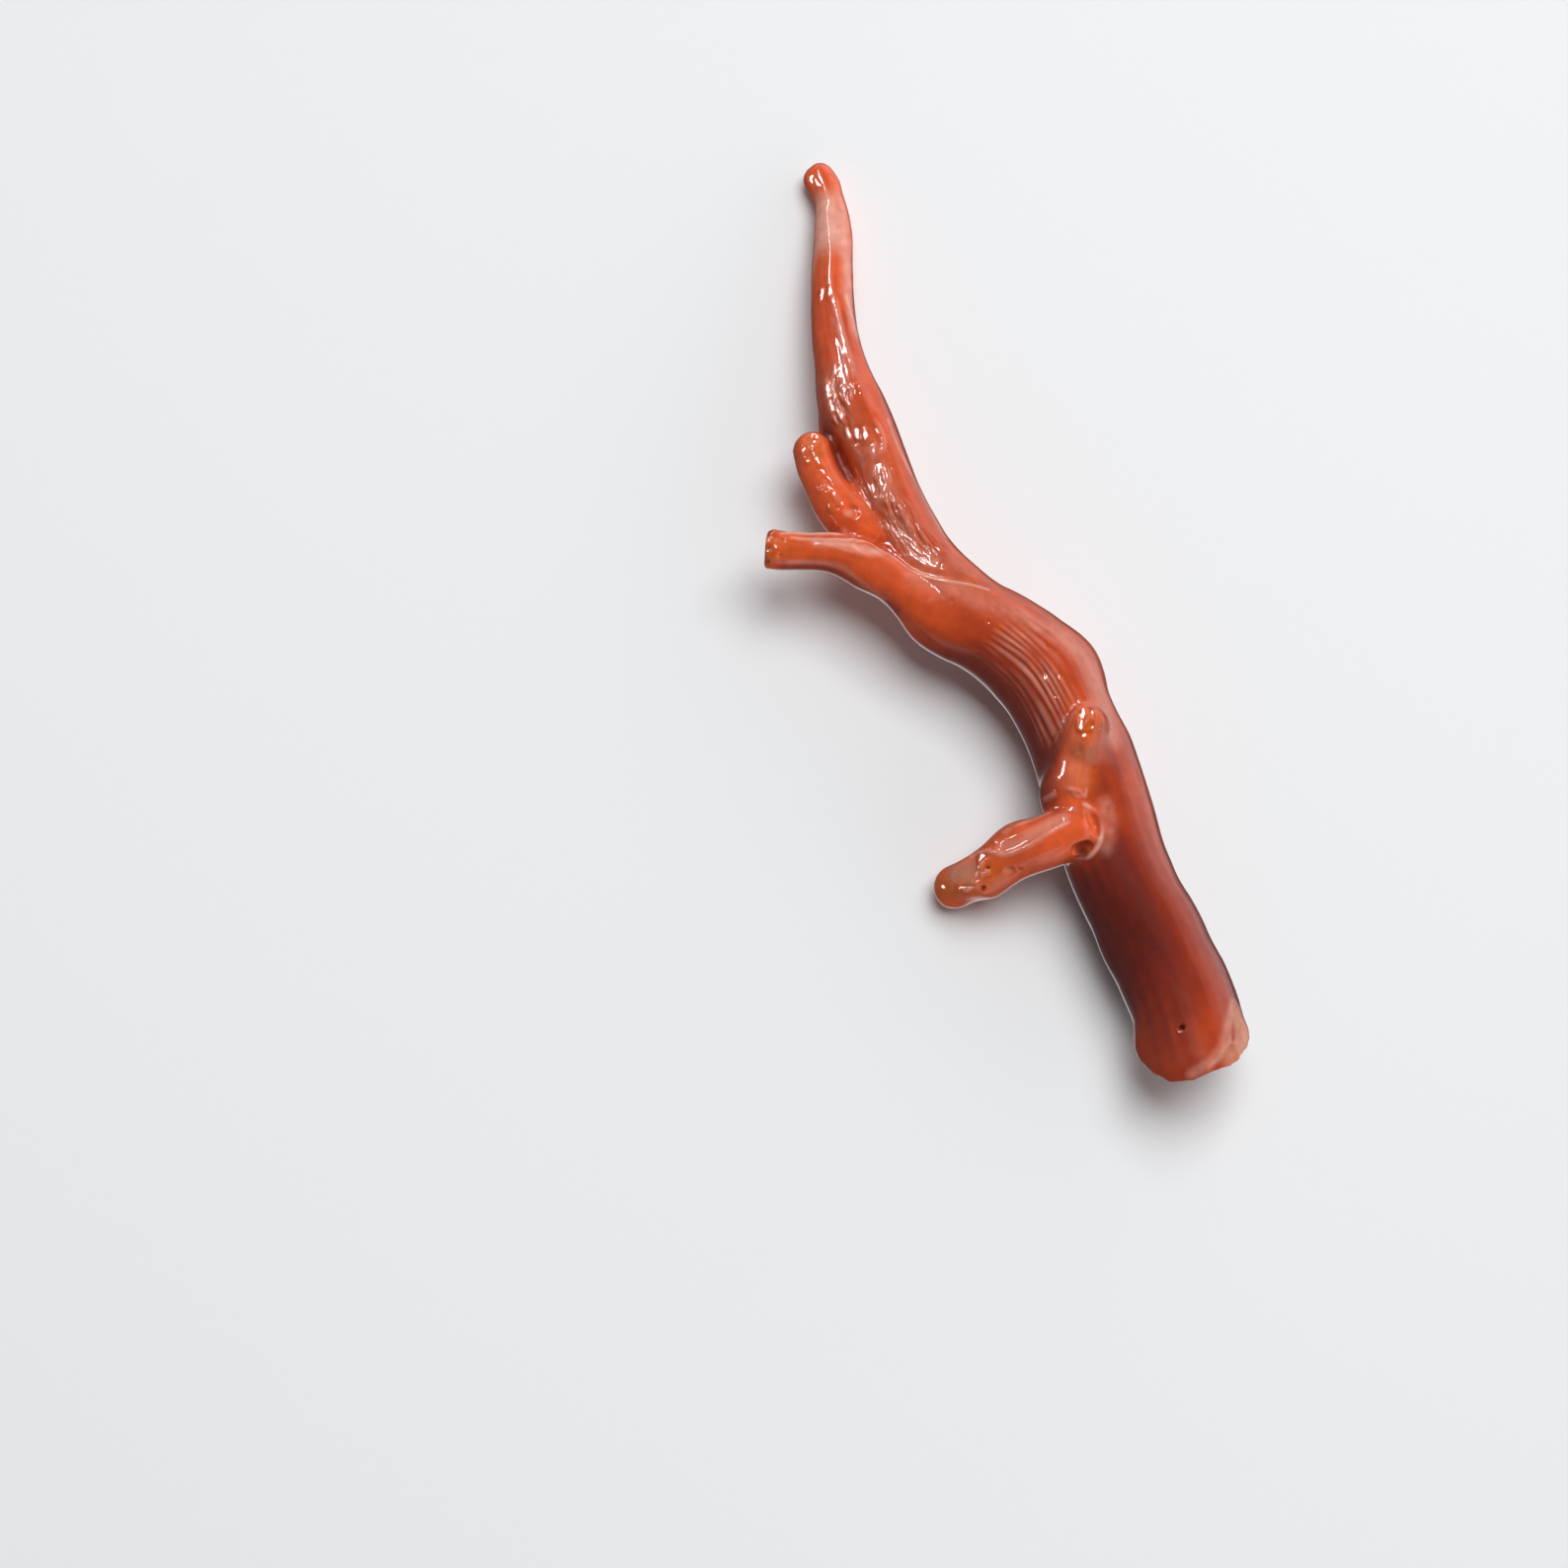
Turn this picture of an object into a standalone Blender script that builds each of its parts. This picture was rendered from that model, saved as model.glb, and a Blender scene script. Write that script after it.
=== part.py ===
"""Polished branch of red coral, lying on its side.

One grown branch, sawn off slantwise at its foot. It has a stout trunk, a thin leader that ends in a
rounded tip, a short side branch with a sawn end, a thumb-like stub, and a twig that rises from the
front of the trunk and hooks over to one side. The solids are split where the branch forks, and meet
each other with a hair's gap.

Frame: metres, +Z up, +Y from the sawn foot towards the thin tip. The origin is on the surface that
the branch lies on, under the middle of its box.
"""
import math

import bmesh
import bpy
from mathutils import Vector

MM = 0.001

# Driving dimensions, in millimetres.
FORK_GAP = 0.3          # between two solids that meet at a fork
RING_STEP = 1.3         # between the rings of a limb
STEM_SIDES = 22         # flats round the trunk, middle and leader
LIMB_SIDES = 18         # flats round the smaller limbs
DOME_RINGS = 4          # rings in a rounded tip

# Each limb is a row of places along its middle: x, y, z and radius, from its root to its tip.
STEM = [
    (14.9, -37.8, 4.25, 4.10),
    (14.1, -34.8, 4.00, 4.02),
    (13.2, -31.1, 3.88, 3.96),
    (12.1, -28.2, 3.87, 3.95),
    (10.9, -25.2, 3.92, 3.90),
    (9.5, -22.6, 3.95, 3.80),
    (8.5, -20.1, 3.90, 3.80),
    (7.7, -17.0, 3.83, 3.86),
    (6.8, -13.8, 3.86, 3.88),
    (6.0, -11.2, 4.05, 3.80),
    (4.6, -8.0, 4.25, 3.78),
    (2.9, -5.2, 4.40, 3.86),
    (0.5, -3.1, 4.55, 3.65),
    (-1.8, -1.6, 4.70, 3.47),
    (-4.0, 0.7, 4.70, 3.20),
    (-5.7, 3.1, 4.60, 2.85),
    (-6.9, 5.5, 4.50, 2.65),
    (-8.1, 8.2, 4.40, 2.55),
    (-9.1, 11.3, 4.35, 2.46),
    (-9.95, 13.7, 4.30, 2.50),
    (-10.9, 15.8, 4.20, 2.62),
    (-11.4, 17.5, 4.10, 2.40),
    (-11.8, 19.5, 3.90, 2.06),
    (-12.2, 22.2, 3.55, 1.83),
    (-12.4, 25.4, 3.10, 1.68),
    (-12.4, 28.5, 2.65, 1.61),
    (-12.3, 31.2, 2.20, 1.53),
    (-12.5, 33.5, 1.75, 1.38),
    (-12.8, 35.1, 1.40, 1.24),
    (-13.3, 36.7, 1.14, 1.18),
]
SIDE_BRANCH = [
    (-2.2, -2.6, 4.9, 2.7),
    (-4.6, -1.2, 5.2, 2.7),
    (-7.0, 0.3, 5.6, 2.15),
    (-9.0, 1.7, 5.9, 1.9),
    (-11.3, 3.0, 6.1, 1.7),
    (-12.9, 3.4, 6.2, 1.5),
    (-14.9, 3.5, 6.2, 1.45),
    (-16.5, 3.6, 6.2, 1.55),
    (-17.6, 3.7, 6.2, 1.5),
]
THUMB_STUB = [
    (-8.8, 4.9, 4.6, 2.0),
    (-10.6, 6.2, 4.6, 2.0),
    (-12.1, 7.8, 4.7, 1.88),
    (-13.0, 9.3, 4.75, 1.66),
    (-13.7, 10.9, 4.8, 1.58),
    (-14.0, 12.1, 4.8, 1.54),
]
TWIG_KNOB = [
    (5.3, -17.2, 5.8, 2.1),
    (5.2, -15.2, 6.0, 2.1),
    (5.5, -13.2, 6.6, 1.9),
    (6.1, -11.7, 7.5, 1.75),
    (6.5, -10.7, 8.1, 1.5),
]
TWIG_FOOT = [
    (6.2, -18.1, 6.3, 1.97),
    (3.5, -19.1, 6.2, 2.04),
    (0.7, -20.0, 4.9, 1.90),
    (-1.8, -21.3, 3.2, 1.86),
    (-3.3, -21.5, 1.64, 1.70),
]

# Where the stem is parted: at the twig's fork and at the side branch's fork.
TWIG_FORK = (6.5, -12.4, 4.0)
SIDE_FORK = (-4.0, 0.7, 4.7)

# The sawn foot leans under the trunk; a chip is broken off its rim.
SAW_CUT_THROUGH = (13.9, -35.3, 5.6)
SAW_CUT_FACES = (0.20, -0.68, -0.70)
CHIP_THROUGH = (16.4, -32.2, 7.2)
CHIP_FACES = (0.886, 0.200, 0.418)

POLISHED_CORAL = ("polished coral", (0.50, 0.055, 0.022), 0.18)
AMBER_CORAL = ("amber coral", (0.62, 0.13, 0.028), 0.24)


def clear_scene():
    for old in list(bpy.data.objects):
        bpy.data.objects.remove(old, do_unlink=True)


def coral_material(name, colour, roughness):
    material = bpy.data.materials.new(name)
    material.use_nodes = True
    shader = material.node_tree.nodes["Principled BSDF"]
    shader.inputs["Base Color"].default_value = (*colour, 1.0)
    shader.inputs["Roughness"].default_value = roughness
    shader.inputs["Metallic"].default_value = 0.0
    return material


def between(a, b, c, d, t):
    """Catmull-Rom value at t between b and c, for numbers or vectors."""
    return 0.5 * (2 * b + (c - a) * t + (2 * a - 5 * b + 4 * c - d) * t ** 2
                  + (3 * b - a - 3 * c + d) * t ** 3)


def smooth_row(places):
    """Places along a limb at about RING_STEP, on one smooth curve through the given ones."""
    middles = [Vector(place[:3]) for place in places]
    radii = [place[3] for place in places]
    last = len(places) - 1
    row = []
    for i in range(last):
        before, after = max(i - 1, 0), min(i + 2, last)
        steps = max(1, round((middles[i + 1] - middles[i]).length / RING_STEP))
        for k in range(steps):
            t = k / steps
            middle = between(middles[before], middles[i], middles[i + 1], middles[after], t)
            radius = between(radii[before], radii[i], radii[i + 1], radii[after], t)
            row.append((middle, radius))
    row.append((middles[last], radii[last]))
    return row


def with_dome(row):
    """The row with a rounded tip after its last place."""
    middle, radius = row[-1]
    onward = (middle - row[-2][0]).normalized()
    dome = []
    for k in range(1, DOME_RINGS + 1):
        turn = math.radians(90) * k / (DOME_RINGS + 0.5)
        dome.append((middle + onward * radius * math.sin(turn), radius * math.cos(turn)))
    return row + dome


def limb_mesh(places, sides, rounded=True, extra_radius=0.0):
    """A closed tube round the limb's places, in metres, pressed flat where it meets the surface."""
    row = smooth_row(places)
    if rounded:
        row = with_dome(row)
    bm = bmesh.new()
    rings = []
    for i, (middle, radius) in enumerate(row):
        onward = (row[min(i + 1, len(row) - 1)][0] - row[max(i - 1, 0)][0]).normalized()
        across = onward.cross(Vector((0, 0, 1))).normalized()
        upward = across.cross(onward)
        ring = []
        for k in range(sides):
            turn = 2 * math.pi * k / sides
            reach = radius + extra_radius
            at = middle + reach * (across * math.cos(turn) + upward * math.sin(turn))
            at.z = max(at.z, -extra_radius)
            ring.append(bm.verts.new(at * MM))
        rings.append(ring)
    for near, far in zip(rings, rings[1:]):
        for k in range(sides):
            n = (k + 1) % sides
            bm.faces.new((near[k], near[n], far[n], far[k]))
    bm.faces.new(reversed(rings[0]))
    bm.faces.new(rings[-1])
    bmesh.ops.recalc_face_normals(bm, faces=bm.faces)
    return bm


def saw(bm, through, faces):
    """Cut off what lies beyond a plane, and close the cut with one flat face."""
    geometry = bm.verts[:] + bm.edges[:] + bm.faces[:]
    bmesh.ops.bisect_plane(bm, geom=geometry, dist=1e-9, plane_co=Vector(through) * MM,
                           plane_no=Vector(faces), clear_outer=True)
    rim = [edge for edge in bm.edges if edge.is_boundary]
    bmesh.ops.holes_fill(bm, edges=rim, sides=0)


def make_object(name, bm, material=None):
    mesh = bpy.data.meshes.new(name)
    bm.to_mesh(mesh)
    bm.free()
    obj = bpy.data.objects.new(name, mesh)
    bpy.context.scene.collection.objects.link(obj)
    mesh.shade_smooth()
    mesh.set_sharp_from_angle(angle=math.radians(35))
    if material:
        mesh.materials.append(material)
    return obj


def make_guide(name, bm):
    """A shape that only cuts or joins others."""
    guide = make_object(name, bm)
    guide.hide_render = True
    guide.display_type = "WIRE"
    return guide


def use_boolean(obj, operation, other):
    modifier = obj.modifiers.new(operation.lower() + " " + other.name, "BOOLEAN")
    modifier.operation = operation
    modifier.solver = "EXACT"
    modifier.object = other


def stem_direction(fork):
    """The way the stem runs where it passes a fork."""
    row = smooth_row(STEM)
    nearest = min(range(len(row)), key=lambda i: (row[i][0] - Vector(fork)).length)
    return (row[nearest + 1][0] - row[nearest - 1][0]).normalized()


def part_of_stem(name, material, after=None, before=None, sawn_foot=False):
    """The stem's solid between two forks, half a gap clear of each."""
    bm = limb_mesh(STEM, STEM_SIDES)
    if sawn_foot:
        saw(bm, SAW_CUT_THROUGH, SAW_CUT_FACES)
        saw(bm, CHIP_THROUGH, CHIP_FACES)
    if after:
        onward = stem_direction(after)
        saw(bm, Vector(after) + onward * FORK_GAP / 2, -onward)
    if before:
        onward = stem_direction(before)
        saw(bm, Vector(before) - onward * FORK_GAP / 2, onward)
    return make_object(name, bm, material)


def build_stem(material):
    part_of_stem("trunk", material, before=TWIG_FORK, sawn_foot=True)
    part_of_stem("middle_stem", material, after=TWIG_FORK, before=SIDE_FORK)
    part_of_stem("leader", material, after=SIDE_FORK)


def build_limbs(material):
    """The limbs that grow out of the stem, each cut back to a gap from what it grows on."""
    stem_clearance = make_guide("stem_clearance", limb_mesh(STEM, STEM_SIDES, extra_radius=FORK_GAP))
    side_branch = make_object("side_branch", limb_mesh(SIDE_BRANCH, LIMB_SIDES, rounded=False), material)
    use_boolean(side_branch, "DIFFERENCE", stem_clearance)

    side_clearance = make_guide("side_clearance", limb_mesh(SIDE_BRANCH, LIMB_SIDES, rounded=False,
                                                            extra_radius=FORK_GAP))
    thumb_stub = make_object("thumb_stub", limb_mesh(THUMB_STUB, LIMB_SIDES), material)
    use_boolean(thumb_stub, "DIFFERENCE", stem_clearance)
    use_boolean(thumb_stub, "DIFFERENCE", side_clearance)

    twig_foot = make_guide("twig_foot", limb_mesh(TWIG_FOOT, LIMB_SIDES))
    hooked_twig = make_object("hooked_twig", limb_mesh(TWIG_KNOB, LIMB_SIDES), material)
    use_boolean(hooked_twig, "UNION", twig_foot)
    use_boolean(hooked_twig, "DIFFERENCE", stem_clearance)


def main():
    clear_scene()
    build_stem(coral_material(*POLISHED_CORAL))
    build_limbs(coral_material(*AMBER_CORAL))


main()
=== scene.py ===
# %% [markdown]
# # A polished branch of red coral
#
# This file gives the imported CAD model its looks, one cell at a time. The real thing is one branch of
# precious coral, a few centimetres long. It grew as a trunk that forks into smaller limbs, was sawn off
# at its foot, and was then polished all over until it shone like glass.
#
# The CAD model is loaded first. It stays where it is, and everything here is fitted to it.

# %% Load the CAD model as the frame
import math

import bpy
import numpy as np
from mathutils import Euler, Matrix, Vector, noise


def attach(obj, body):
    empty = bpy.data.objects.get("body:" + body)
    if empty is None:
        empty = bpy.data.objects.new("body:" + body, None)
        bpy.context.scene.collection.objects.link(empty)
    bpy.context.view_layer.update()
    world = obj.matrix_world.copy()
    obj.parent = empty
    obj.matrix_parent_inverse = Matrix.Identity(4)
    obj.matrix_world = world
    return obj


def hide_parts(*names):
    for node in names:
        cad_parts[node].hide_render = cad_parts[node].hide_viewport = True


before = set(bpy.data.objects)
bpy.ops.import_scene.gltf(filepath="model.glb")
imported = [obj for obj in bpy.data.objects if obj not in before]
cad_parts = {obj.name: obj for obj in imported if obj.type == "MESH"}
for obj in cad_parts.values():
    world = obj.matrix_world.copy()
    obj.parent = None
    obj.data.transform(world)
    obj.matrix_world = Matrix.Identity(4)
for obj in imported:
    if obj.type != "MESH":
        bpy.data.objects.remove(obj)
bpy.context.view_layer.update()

MM = 0.001
print("CAD pieces:", ", ".join(sorted(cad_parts)))

# %% [markdown]
# ## The camera
#
# The branch is seen from nearly overhead, a little from the side of its foot. A long lens from about
# a quarter of a metre keeps it free of distortion, as in a close picture of a small thing.

# %% The camera
VIEW_ELEVATION = 74.0                     # degrees above the floor
VIEW_TARGET = Vector((-16.2, -13.0, 0.0)) * MM
VIEW_WIDTH = 119.1 * MM                   # what the frame takes in at the target
LENS = 80.0
SENSOR = 36.0


def place_camera():
    """A camera that looks down at the target from the side of the foot."""
    distance = VIEW_WIDTH * LENS / SENSOR
    turn = Euler((math.radians(90 - VIEW_ELEVATION), 0, 0))
    back = turn.to_matrix() @ Vector((0, 0, 1))
    bpy.ops.object.camera_add(location=VIEW_TARGET + back * distance, rotation=turn)
    camera = bpy.context.object
    camera.data.lens = LENS
    camera.data.sensor_width = SENSOR
    camera.data.clip_start = 5 * MM
    bpy.context.scene.camera = camera
    print("camera, mm:", [round(c / MM, 1) for c in camera.location])


place_camera()

# %% [markdown]
# ## The limbs
#
# Each limb is drawn as its middle line: places from its root to its tip, with a radius at each. These are
# the places of the CAD model, so both models lie in the same spot.
#
# A limb could be extruded ring by ring. A curve does the same with less work: automatic handles make one
# smooth line through all the places, and each place's radius swells or thins a round bevel.

# %% The limbs' places
# x, y, z and radius in millimetres.
STEM = [
    (14.9, -37.8, 4.25, 4.10), (14.1, -34.8, 4.00, 4.02), (13.2, -31.1, 3.88, 3.96),
    (12.1, -28.2, 3.87, 3.95), (10.9, -25.2, 3.92, 3.90), (9.5, -22.6, 3.95, 3.80),
    (8.5, -20.1, 3.90, 3.80), (7.7, -17.0, 3.83, 3.86), (6.8, -13.8, 3.86, 3.88),
    (6.0, -11.2, 4.05, 3.80), (4.6, -8.0, 4.25, 3.78), (2.9, -5.2, 4.40, 3.86),
    (0.5, -3.1, 4.55, 3.65), (-1.8, -1.6, 4.70, 3.47), (-4.0, 0.7, 4.70, 3.20),
    (-5.7, 3.1, 4.60, 2.85), (-6.9, 5.5, 4.50, 2.65), (-8.1, 8.2, 4.40, 2.55),
    (-9.1, 11.3, 4.35, 2.46), (-9.95, 13.7, 4.30, 2.50), (-10.9, 15.8, 4.20, 2.62),
    (-11.4, 17.5, 4.10, 2.40), (-11.8, 19.5, 3.90, 2.06), (-12.2, 22.2, 3.55, 1.83),
    (-12.4, 25.4, 3.10, 1.68), (-12.4, 28.5, 2.65, 1.61), (-12.3, 31.2, 2.20, 1.53),
    (-12.5, 33.5, 1.75, 1.38), (-12.8, 35.1, 1.40, 1.24), (-13.3, 36.7, 1.14, 1.18),
]
SIDE_BRANCH = [
    (-2.2, -2.6, 4.9, 2.7), (-4.6, -1.2, 5.2, 2.7), (-7.0, 0.3, 5.6, 2.15),
    (-9.0, 1.7, 5.9, 1.9), (-11.3, 3.0, 6.1, 1.7), (-12.9, 3.4, 6.2, 1.5),
    (-14.9, 3.5, 6.2, 1.45), (-16.5, 3.6, 6.2, 1.55), (-17.6, 3.7, 6.2, 1.5),
]
THUMB_STUB = [
    (-8.8, 4.9, 4.6, 2.0), (-10.6, 6.2, 4.6, 2.0), (-12.1, 7.8, 4.7, 1.88),
    (-13.0, 9.3, 4.75, 1.66), (-13.7, 10.9, 4.8, 1.58), (-14.0, 12.1, 4.8, 1.54),
]
TWIG_KNOB = [
    (5.3, -17.2, 5.8, 2.1), (5.2, -15.2, 6.0, 2.1), (5.5, -13.2, 6.6, 1.9),
    (6.1, -11.7, 7.5, 1.75), (6.5, -10.7, 8.1, 1.5),
]
TWIG_FOOT = [
    (6.2, -18.1, 6.3, 1.97), (3.5, -19.1, 6.2, 2.04), (0.7, -20.0, 4.9, 1.90),
    (-1.8, -21.3, 3.2, 1.86), (-3.3, -21.5, 1.64, 1.70),
]
CROTCH_WEB = [            # fills the crotch between the thumb and the leader, below both
    (-11.9, 17.0, 3.9, 1.7), (-11.8, 14.6, 3.4, 1.75), (-11.2, 11.6, 3.0, 1.9),
    (-10.3, 8.8, 3.4, 2.0),
]
LIMBS = {"stem": STEM, "side branch": SIDE_BRANCH, "thumb stub": THUMB_STUB,
         "twig knob": TWIG_KNOB, "twig foot": TWIG_FOOT, "crotch web": CROTCH_WEB}

# %% Draw each limb as a tube
TUBE_STEPS = 12           # rings from one place to the next
ROUND_STEPS = 10          # how finely the bevel is rounded
WELD = 0.001              # millimetres: the end caps come loose, so they are welded on


def deselect_all():
    bpy.ops.object.select_all(action="DESELECT")


def draw_limb(name, places):
    """A closed round tube along a limb's places."""
    deselect_all()
    bpy.ops.curve.primitive_bezier_curve_add(location=(0, 0, 0))
    limb = bpy.context.object
    limb.name = name
    spline = limb.data.splines[0]
    spline.bezier_points.add(len(places) - 2)
    spline.radius_interpolation = "CARDINAL"
    for point, (x, y, z, radius) in zip(spline.bezier_points, places):
        point.co = Vector((x, y, z)) * MM
        point.radius = radius
    bpy.ops.object.mode_set(mode="EDIT")
    bpy.ops.curve.select_all(action="SELECT")
    bpy.ops.curve.handle_type_set(type="AUTOMATIC")
    bpy.ops.object.mode_set(mode="OBJECT")
    limb.data.bevel_depth = MM
    limb.data.bevel_resolution = ROUND_STEPS
    limb.data.resolution_u = TUBE_STEPS
    limb.data.use_fill_caps = True
    bpy.ops.object.convert(target="MESH")
    bpy.ops.object.mode_set(mode="EDIT")
    bpy.ops.mesh.select_all(action="SELECT")
    bpy.ops.mesh.remove_doubles(threshold=WELD * MM)
    bpy.ops.mesh.normals_make_consistent(inside=False)
    bpy.ops.object.mode_set(mode="OBJECT")
    return bpy.context.object


tubes = {name: draw_limb(name, places) for name, places in LIMBS.items()}
for name, tube in tubes.items():
    print(f"{name}: {len(tube.data.vertices)} vertices")

# %% [markdown]
# ## The saw cut and the rounded tips
#
# The branch was parted from the reef, and its foot was then sawn flat, slantwise, so that the cut leans
# under the trunk. Bisect is that saw: it cuts at a plane, throws the outer part away and fills the cut.
# The other limbs end in rounded tips, and a ball of the tip's own radius is enough for each.

# %% Saw the foot, and round the tips
SAW_CUT = (Vector((13.9, -35.3, 5.6)), Vector((0.20, -0.68, -0.70)))
BALL_SIDES, BALL_RINGS = 40, 24


def saw(piece, through, faces):
    """Cut off what lies beyond a plane, and close the cut."""
    deselect_all()
    piece.select_set(True)
    bpy.context.view_layer.objects.active = piece
    bpy.ops.object.mode_set(mode="EDIT")
    bpy.ops.mesh.select_all(action="SELECT")
    bpy.ops.mesh.bisect(plane_co=through * MM, plane_no=faces, use_fill=True, clear_outer=True)
    bpy.ops.object.mode_set(mode="OBJECT")


def round_tip(name):
    """A ball on a limb's last place."""
    x, y, z, radius = LIMBS[name][-1]
    bpy.ops.mesh.primitive_uv_sphere_add(segments=BALL_SIDES, ring_count=BALL_RINGS,
                                         radius=radius * MM, location=Vector((x, y, z)) * MM)
    return bpy.context.object


saw(tubes["stem"], *SAW_CUT)
balls = [round_tip(name) for name in LIMBS if name != "side branch"]
print("balls on tips:", len(balls))

# %% [markdown]
# ## One skin
#
# Coral grows as one body, so the tubes must melt into each other at the forks. A Boolean union would
# leave hard seams there. The voxel Remesh throws away everything inside and wraps one even net of small
# faces round the outside. A Smooth modifier then rounds the seams into hollows, as living coral fills
# them.

# %% Join the limbs into one skin
NET_SIZE = 0.225          # one face of the net, in millimetres
SMOOTH_ROUNDS = 4


def melt_together(pieces):
    """One closed skin round all the pieces."""
    deselect_all()
    for piece in pieces:
        piece.select_set(True)
    bpy.context.view_layer.objects.active = pieces[0]
    bpy.ops.object.join()
    skin = bpy.context.object
    bpy.ops.object.transform_apply(location=True, rotation=True, scale=True)
    remesh = skin.modifiers.new("one skin", "REMESH")
    remesh.mode = "VOXEL"
    remesh.voxel_size = NET_SIZE * MM
    bpy.ops.object.modifier_apply(modifier=remesh.name)
    smooth = skin.modifiers.new("soft forks", "SMOOTH")
    smooth.factor = 0.5
    smooth.iterations = SMOOTH_ROUNDS
    bpy.ops.object.modifier_apply(modifier=smooth.name)
    return skin


skin = melt_together(list(tubes.values()) + balls)
skin.name = "coral_branch"
skin.data.name = "coral_branch"
bpy.ops.object.shade_smooth()
print("skin:", len(skin.data.vertices), "vertices,", len(skin.data.polygons), "faces")

# %% [markdown]
# ## A brush for the skin
#
# A branch of coral is never a plain tube. It has ridges, hollows, pits and scars, far too many to push
# about one by one in edit mode. A sculptor would take a brush to the net, so the next cells make one:
# it moves every vertex near a line, by less the further off it is.
#
# NumPy holds all the vertices as one array, so one sum moves the whole net.

# %% Read the net, and put it back
def read_net():
    """Every vertex's place in millimetres, and the way it faces."""
    count = len(skin.data.vertices)
    places, facings = np.empty(count * 3), np.empty(count * 3)
    skin.data.vertices.foreach_get("co", places)
    skin.data.vertex_normals.foreach_get("vector", facings)
    return places.reshape(-1, 3) / MM, facings.reshape(-1, 3)


def settle():
    """Put the moved vertices back in the skin, and read the way that they now face."""
    global place, facing
    skin.data.vertices.foreach_set("co", (place * MM).ravel())
    skin.data.update()
    place, facing = read_net()


place, facing = read_net()
relief = np.zeros(len(place))              # how far the fine ridges and folds stand out, in millimetres
print("net:", len(place), "places, from", place.min(0).round(1), "to", place.max(0).round(1))

# %% Measure from a line
LINE_STEP = 0.25          # millimetres between the points of a smooth line


def smooth_line(points):
    """Points along a smooth curve through the given ones (Catmull-Rom)."""
    points = np.array(points, float)
    ends = np.vstack([points[:1], points, points[-1:]])
    line = []
    for a, b, c, d in zip(ends, ends[1:], ends[2:], ends[3:]):
        count = max(1, round(np.linalg.norm((c - b)[:3]) / LINE_STEP))
        for t in np.arange(count) / count:
            line.append(0.5 * (2 * b + (c - a) * t + (2 * a - 5 * b + 4 * c - d) * t ** 2
                               + (3 * b - a - 3 * c + d) * t ** 3))
    return np.array(line + [points[-1]])


def nearness(path, reach):
    """For each vertex: the way to it from the path, and how far along the path that starts, from 0 to 1.
    Vertices that are out of reach stay infinitely far away."""
    line = smooth_line(path)
    off, along = np.full(place.shape, np.inf), np.full(len(place), 0.5)
    inside = np.all((place > line.min(0) - reach) & (place < line.max(0) + reach), axis=1)
    here = place[inside]
    if len(line) == 1:
        off[inside] = here - line[0]
        return off, along
    runs = np.linalg.norm(np.diff(line, axis=0), axis=1)
    starts = np.concatenate([[0], np.cumsum(runs)])
    best, gaps, shares = np.full(len(here), np.inf), np.zeros(here.shape), np.zeros(len(here))
    for start, run, a, b in zip(starts, runs, line, line[1:]):
        t = np.clip((here - a) @ (b - a) / run ** 2, 0, 1)
        gap = here - a - t[:, None] * (b - a)
        far = np.linalg.norm(gap, axis=1)
        closer = far < best
        best[closer], gaps[closer] = far[closer], gap[closer]
        shares[closer] = (start + run * t[closer]) / starts[-1]
    off[inside], along[inside] = gaps, shares
    return off, along


# %% Brush along a line
SIDE_FADE = 0.2           # millimetres over which a one-sided touch fades at its path


def touch(path, width, keen=False, taper=0.25, towards=None):
    """1 on a path and 0 at a width from it, only on the side of the limb that the path runs on.
    A keen touch comes to an edge. The taper is the share of the path over which each end fades.
    A touch that is given a way to go towards stays on that side of the path."""
    off, along = nearness(path, width)
    far = np.linalg.norm(off, axis=1)
    near = np.clip(1 - far / width, 0, 1)
    strength = near ** 1.5 if keen else (near * (2 - near)) ** 2
    if len(path) > 1 and taper:
        strength = strength * np.clip(np.minimum(along, 1 - along) / taper, 0, 1) ** 0.5
    if towards is not None:
        side = np.where(near > 0, np.nan_to_num(off, posinf=0.0) @ np.array(towards), 0)
        strength = strength * np.clip(0.5 + side / SIDE_FADE, 0, 1)
    under = np.argmin(far)
    return strength * np.clip(facing @ facing[under] * 1.5 + 0.4, 0, 1)


def raise_line(path, width, height, **shape):
    """Raise a ridge or a bump along a path, or cut a groove or a pit if the height is negative.
    Ridges with an edge are also added to the fine relief."""
    global place
    change = height * touch(path, width, **shape)
    place = place + facing * change[:, None]
    if shape.get("keen"):
        relief[:] += change


def flatten(through, faces, width, share=1.0):
    """Scrape down to a plane what stands above it, within a width of a place."""
    global place
    faces = np.array(faces, float) / np.linalg.norm(faces)
    above = np.clip((place - np.array(through)) @ faces, 0, None)
    near = np.clip(1 - np.linalg.norm(place - np.array(through), axis=1) / width, 0, 1)
    place = place - faces * (share * above * np.clip(near * 4, 0, 1))[:, None]


def pull(centre, width, shift):
    """Move everything near a place by a shift, as a thumb moves soft clay."""
    global place
    far = np.linalg.norm(place - np.array(centre), axis=1)
    near = np.clip(1 - (far / width) ** 2, 0, 1) ** 2
    place = place + np.array(shift) * near[:, None]


def soften(path, width, rounds):
    """Smooth the net within a width of a path, with a Smooth modifier that acts on a vertex group."""
    global place, facing
    settle()
    near = np.clip(1 - np.linalg.norm(nearness(path, width)[0], axis=1) / width, 0, 1) ** 0.5
    group = skin.vertex_groups.new(name="soft")
    for index in np.flatnonzero(near):
        group.add([int(index)], near[index], "REPLACE")
    smooth = skin.modifiers.new("soften", "SMOOTH")
    smooth.factor = 0.5
    smooth.iterations = rounds
    smooth.vertex_group = group.name
    bpy.ops.object.modifier_apply(modifier=smooth.name)
    skin.vertex_groups.clear()
    place, facing = read_net()


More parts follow.
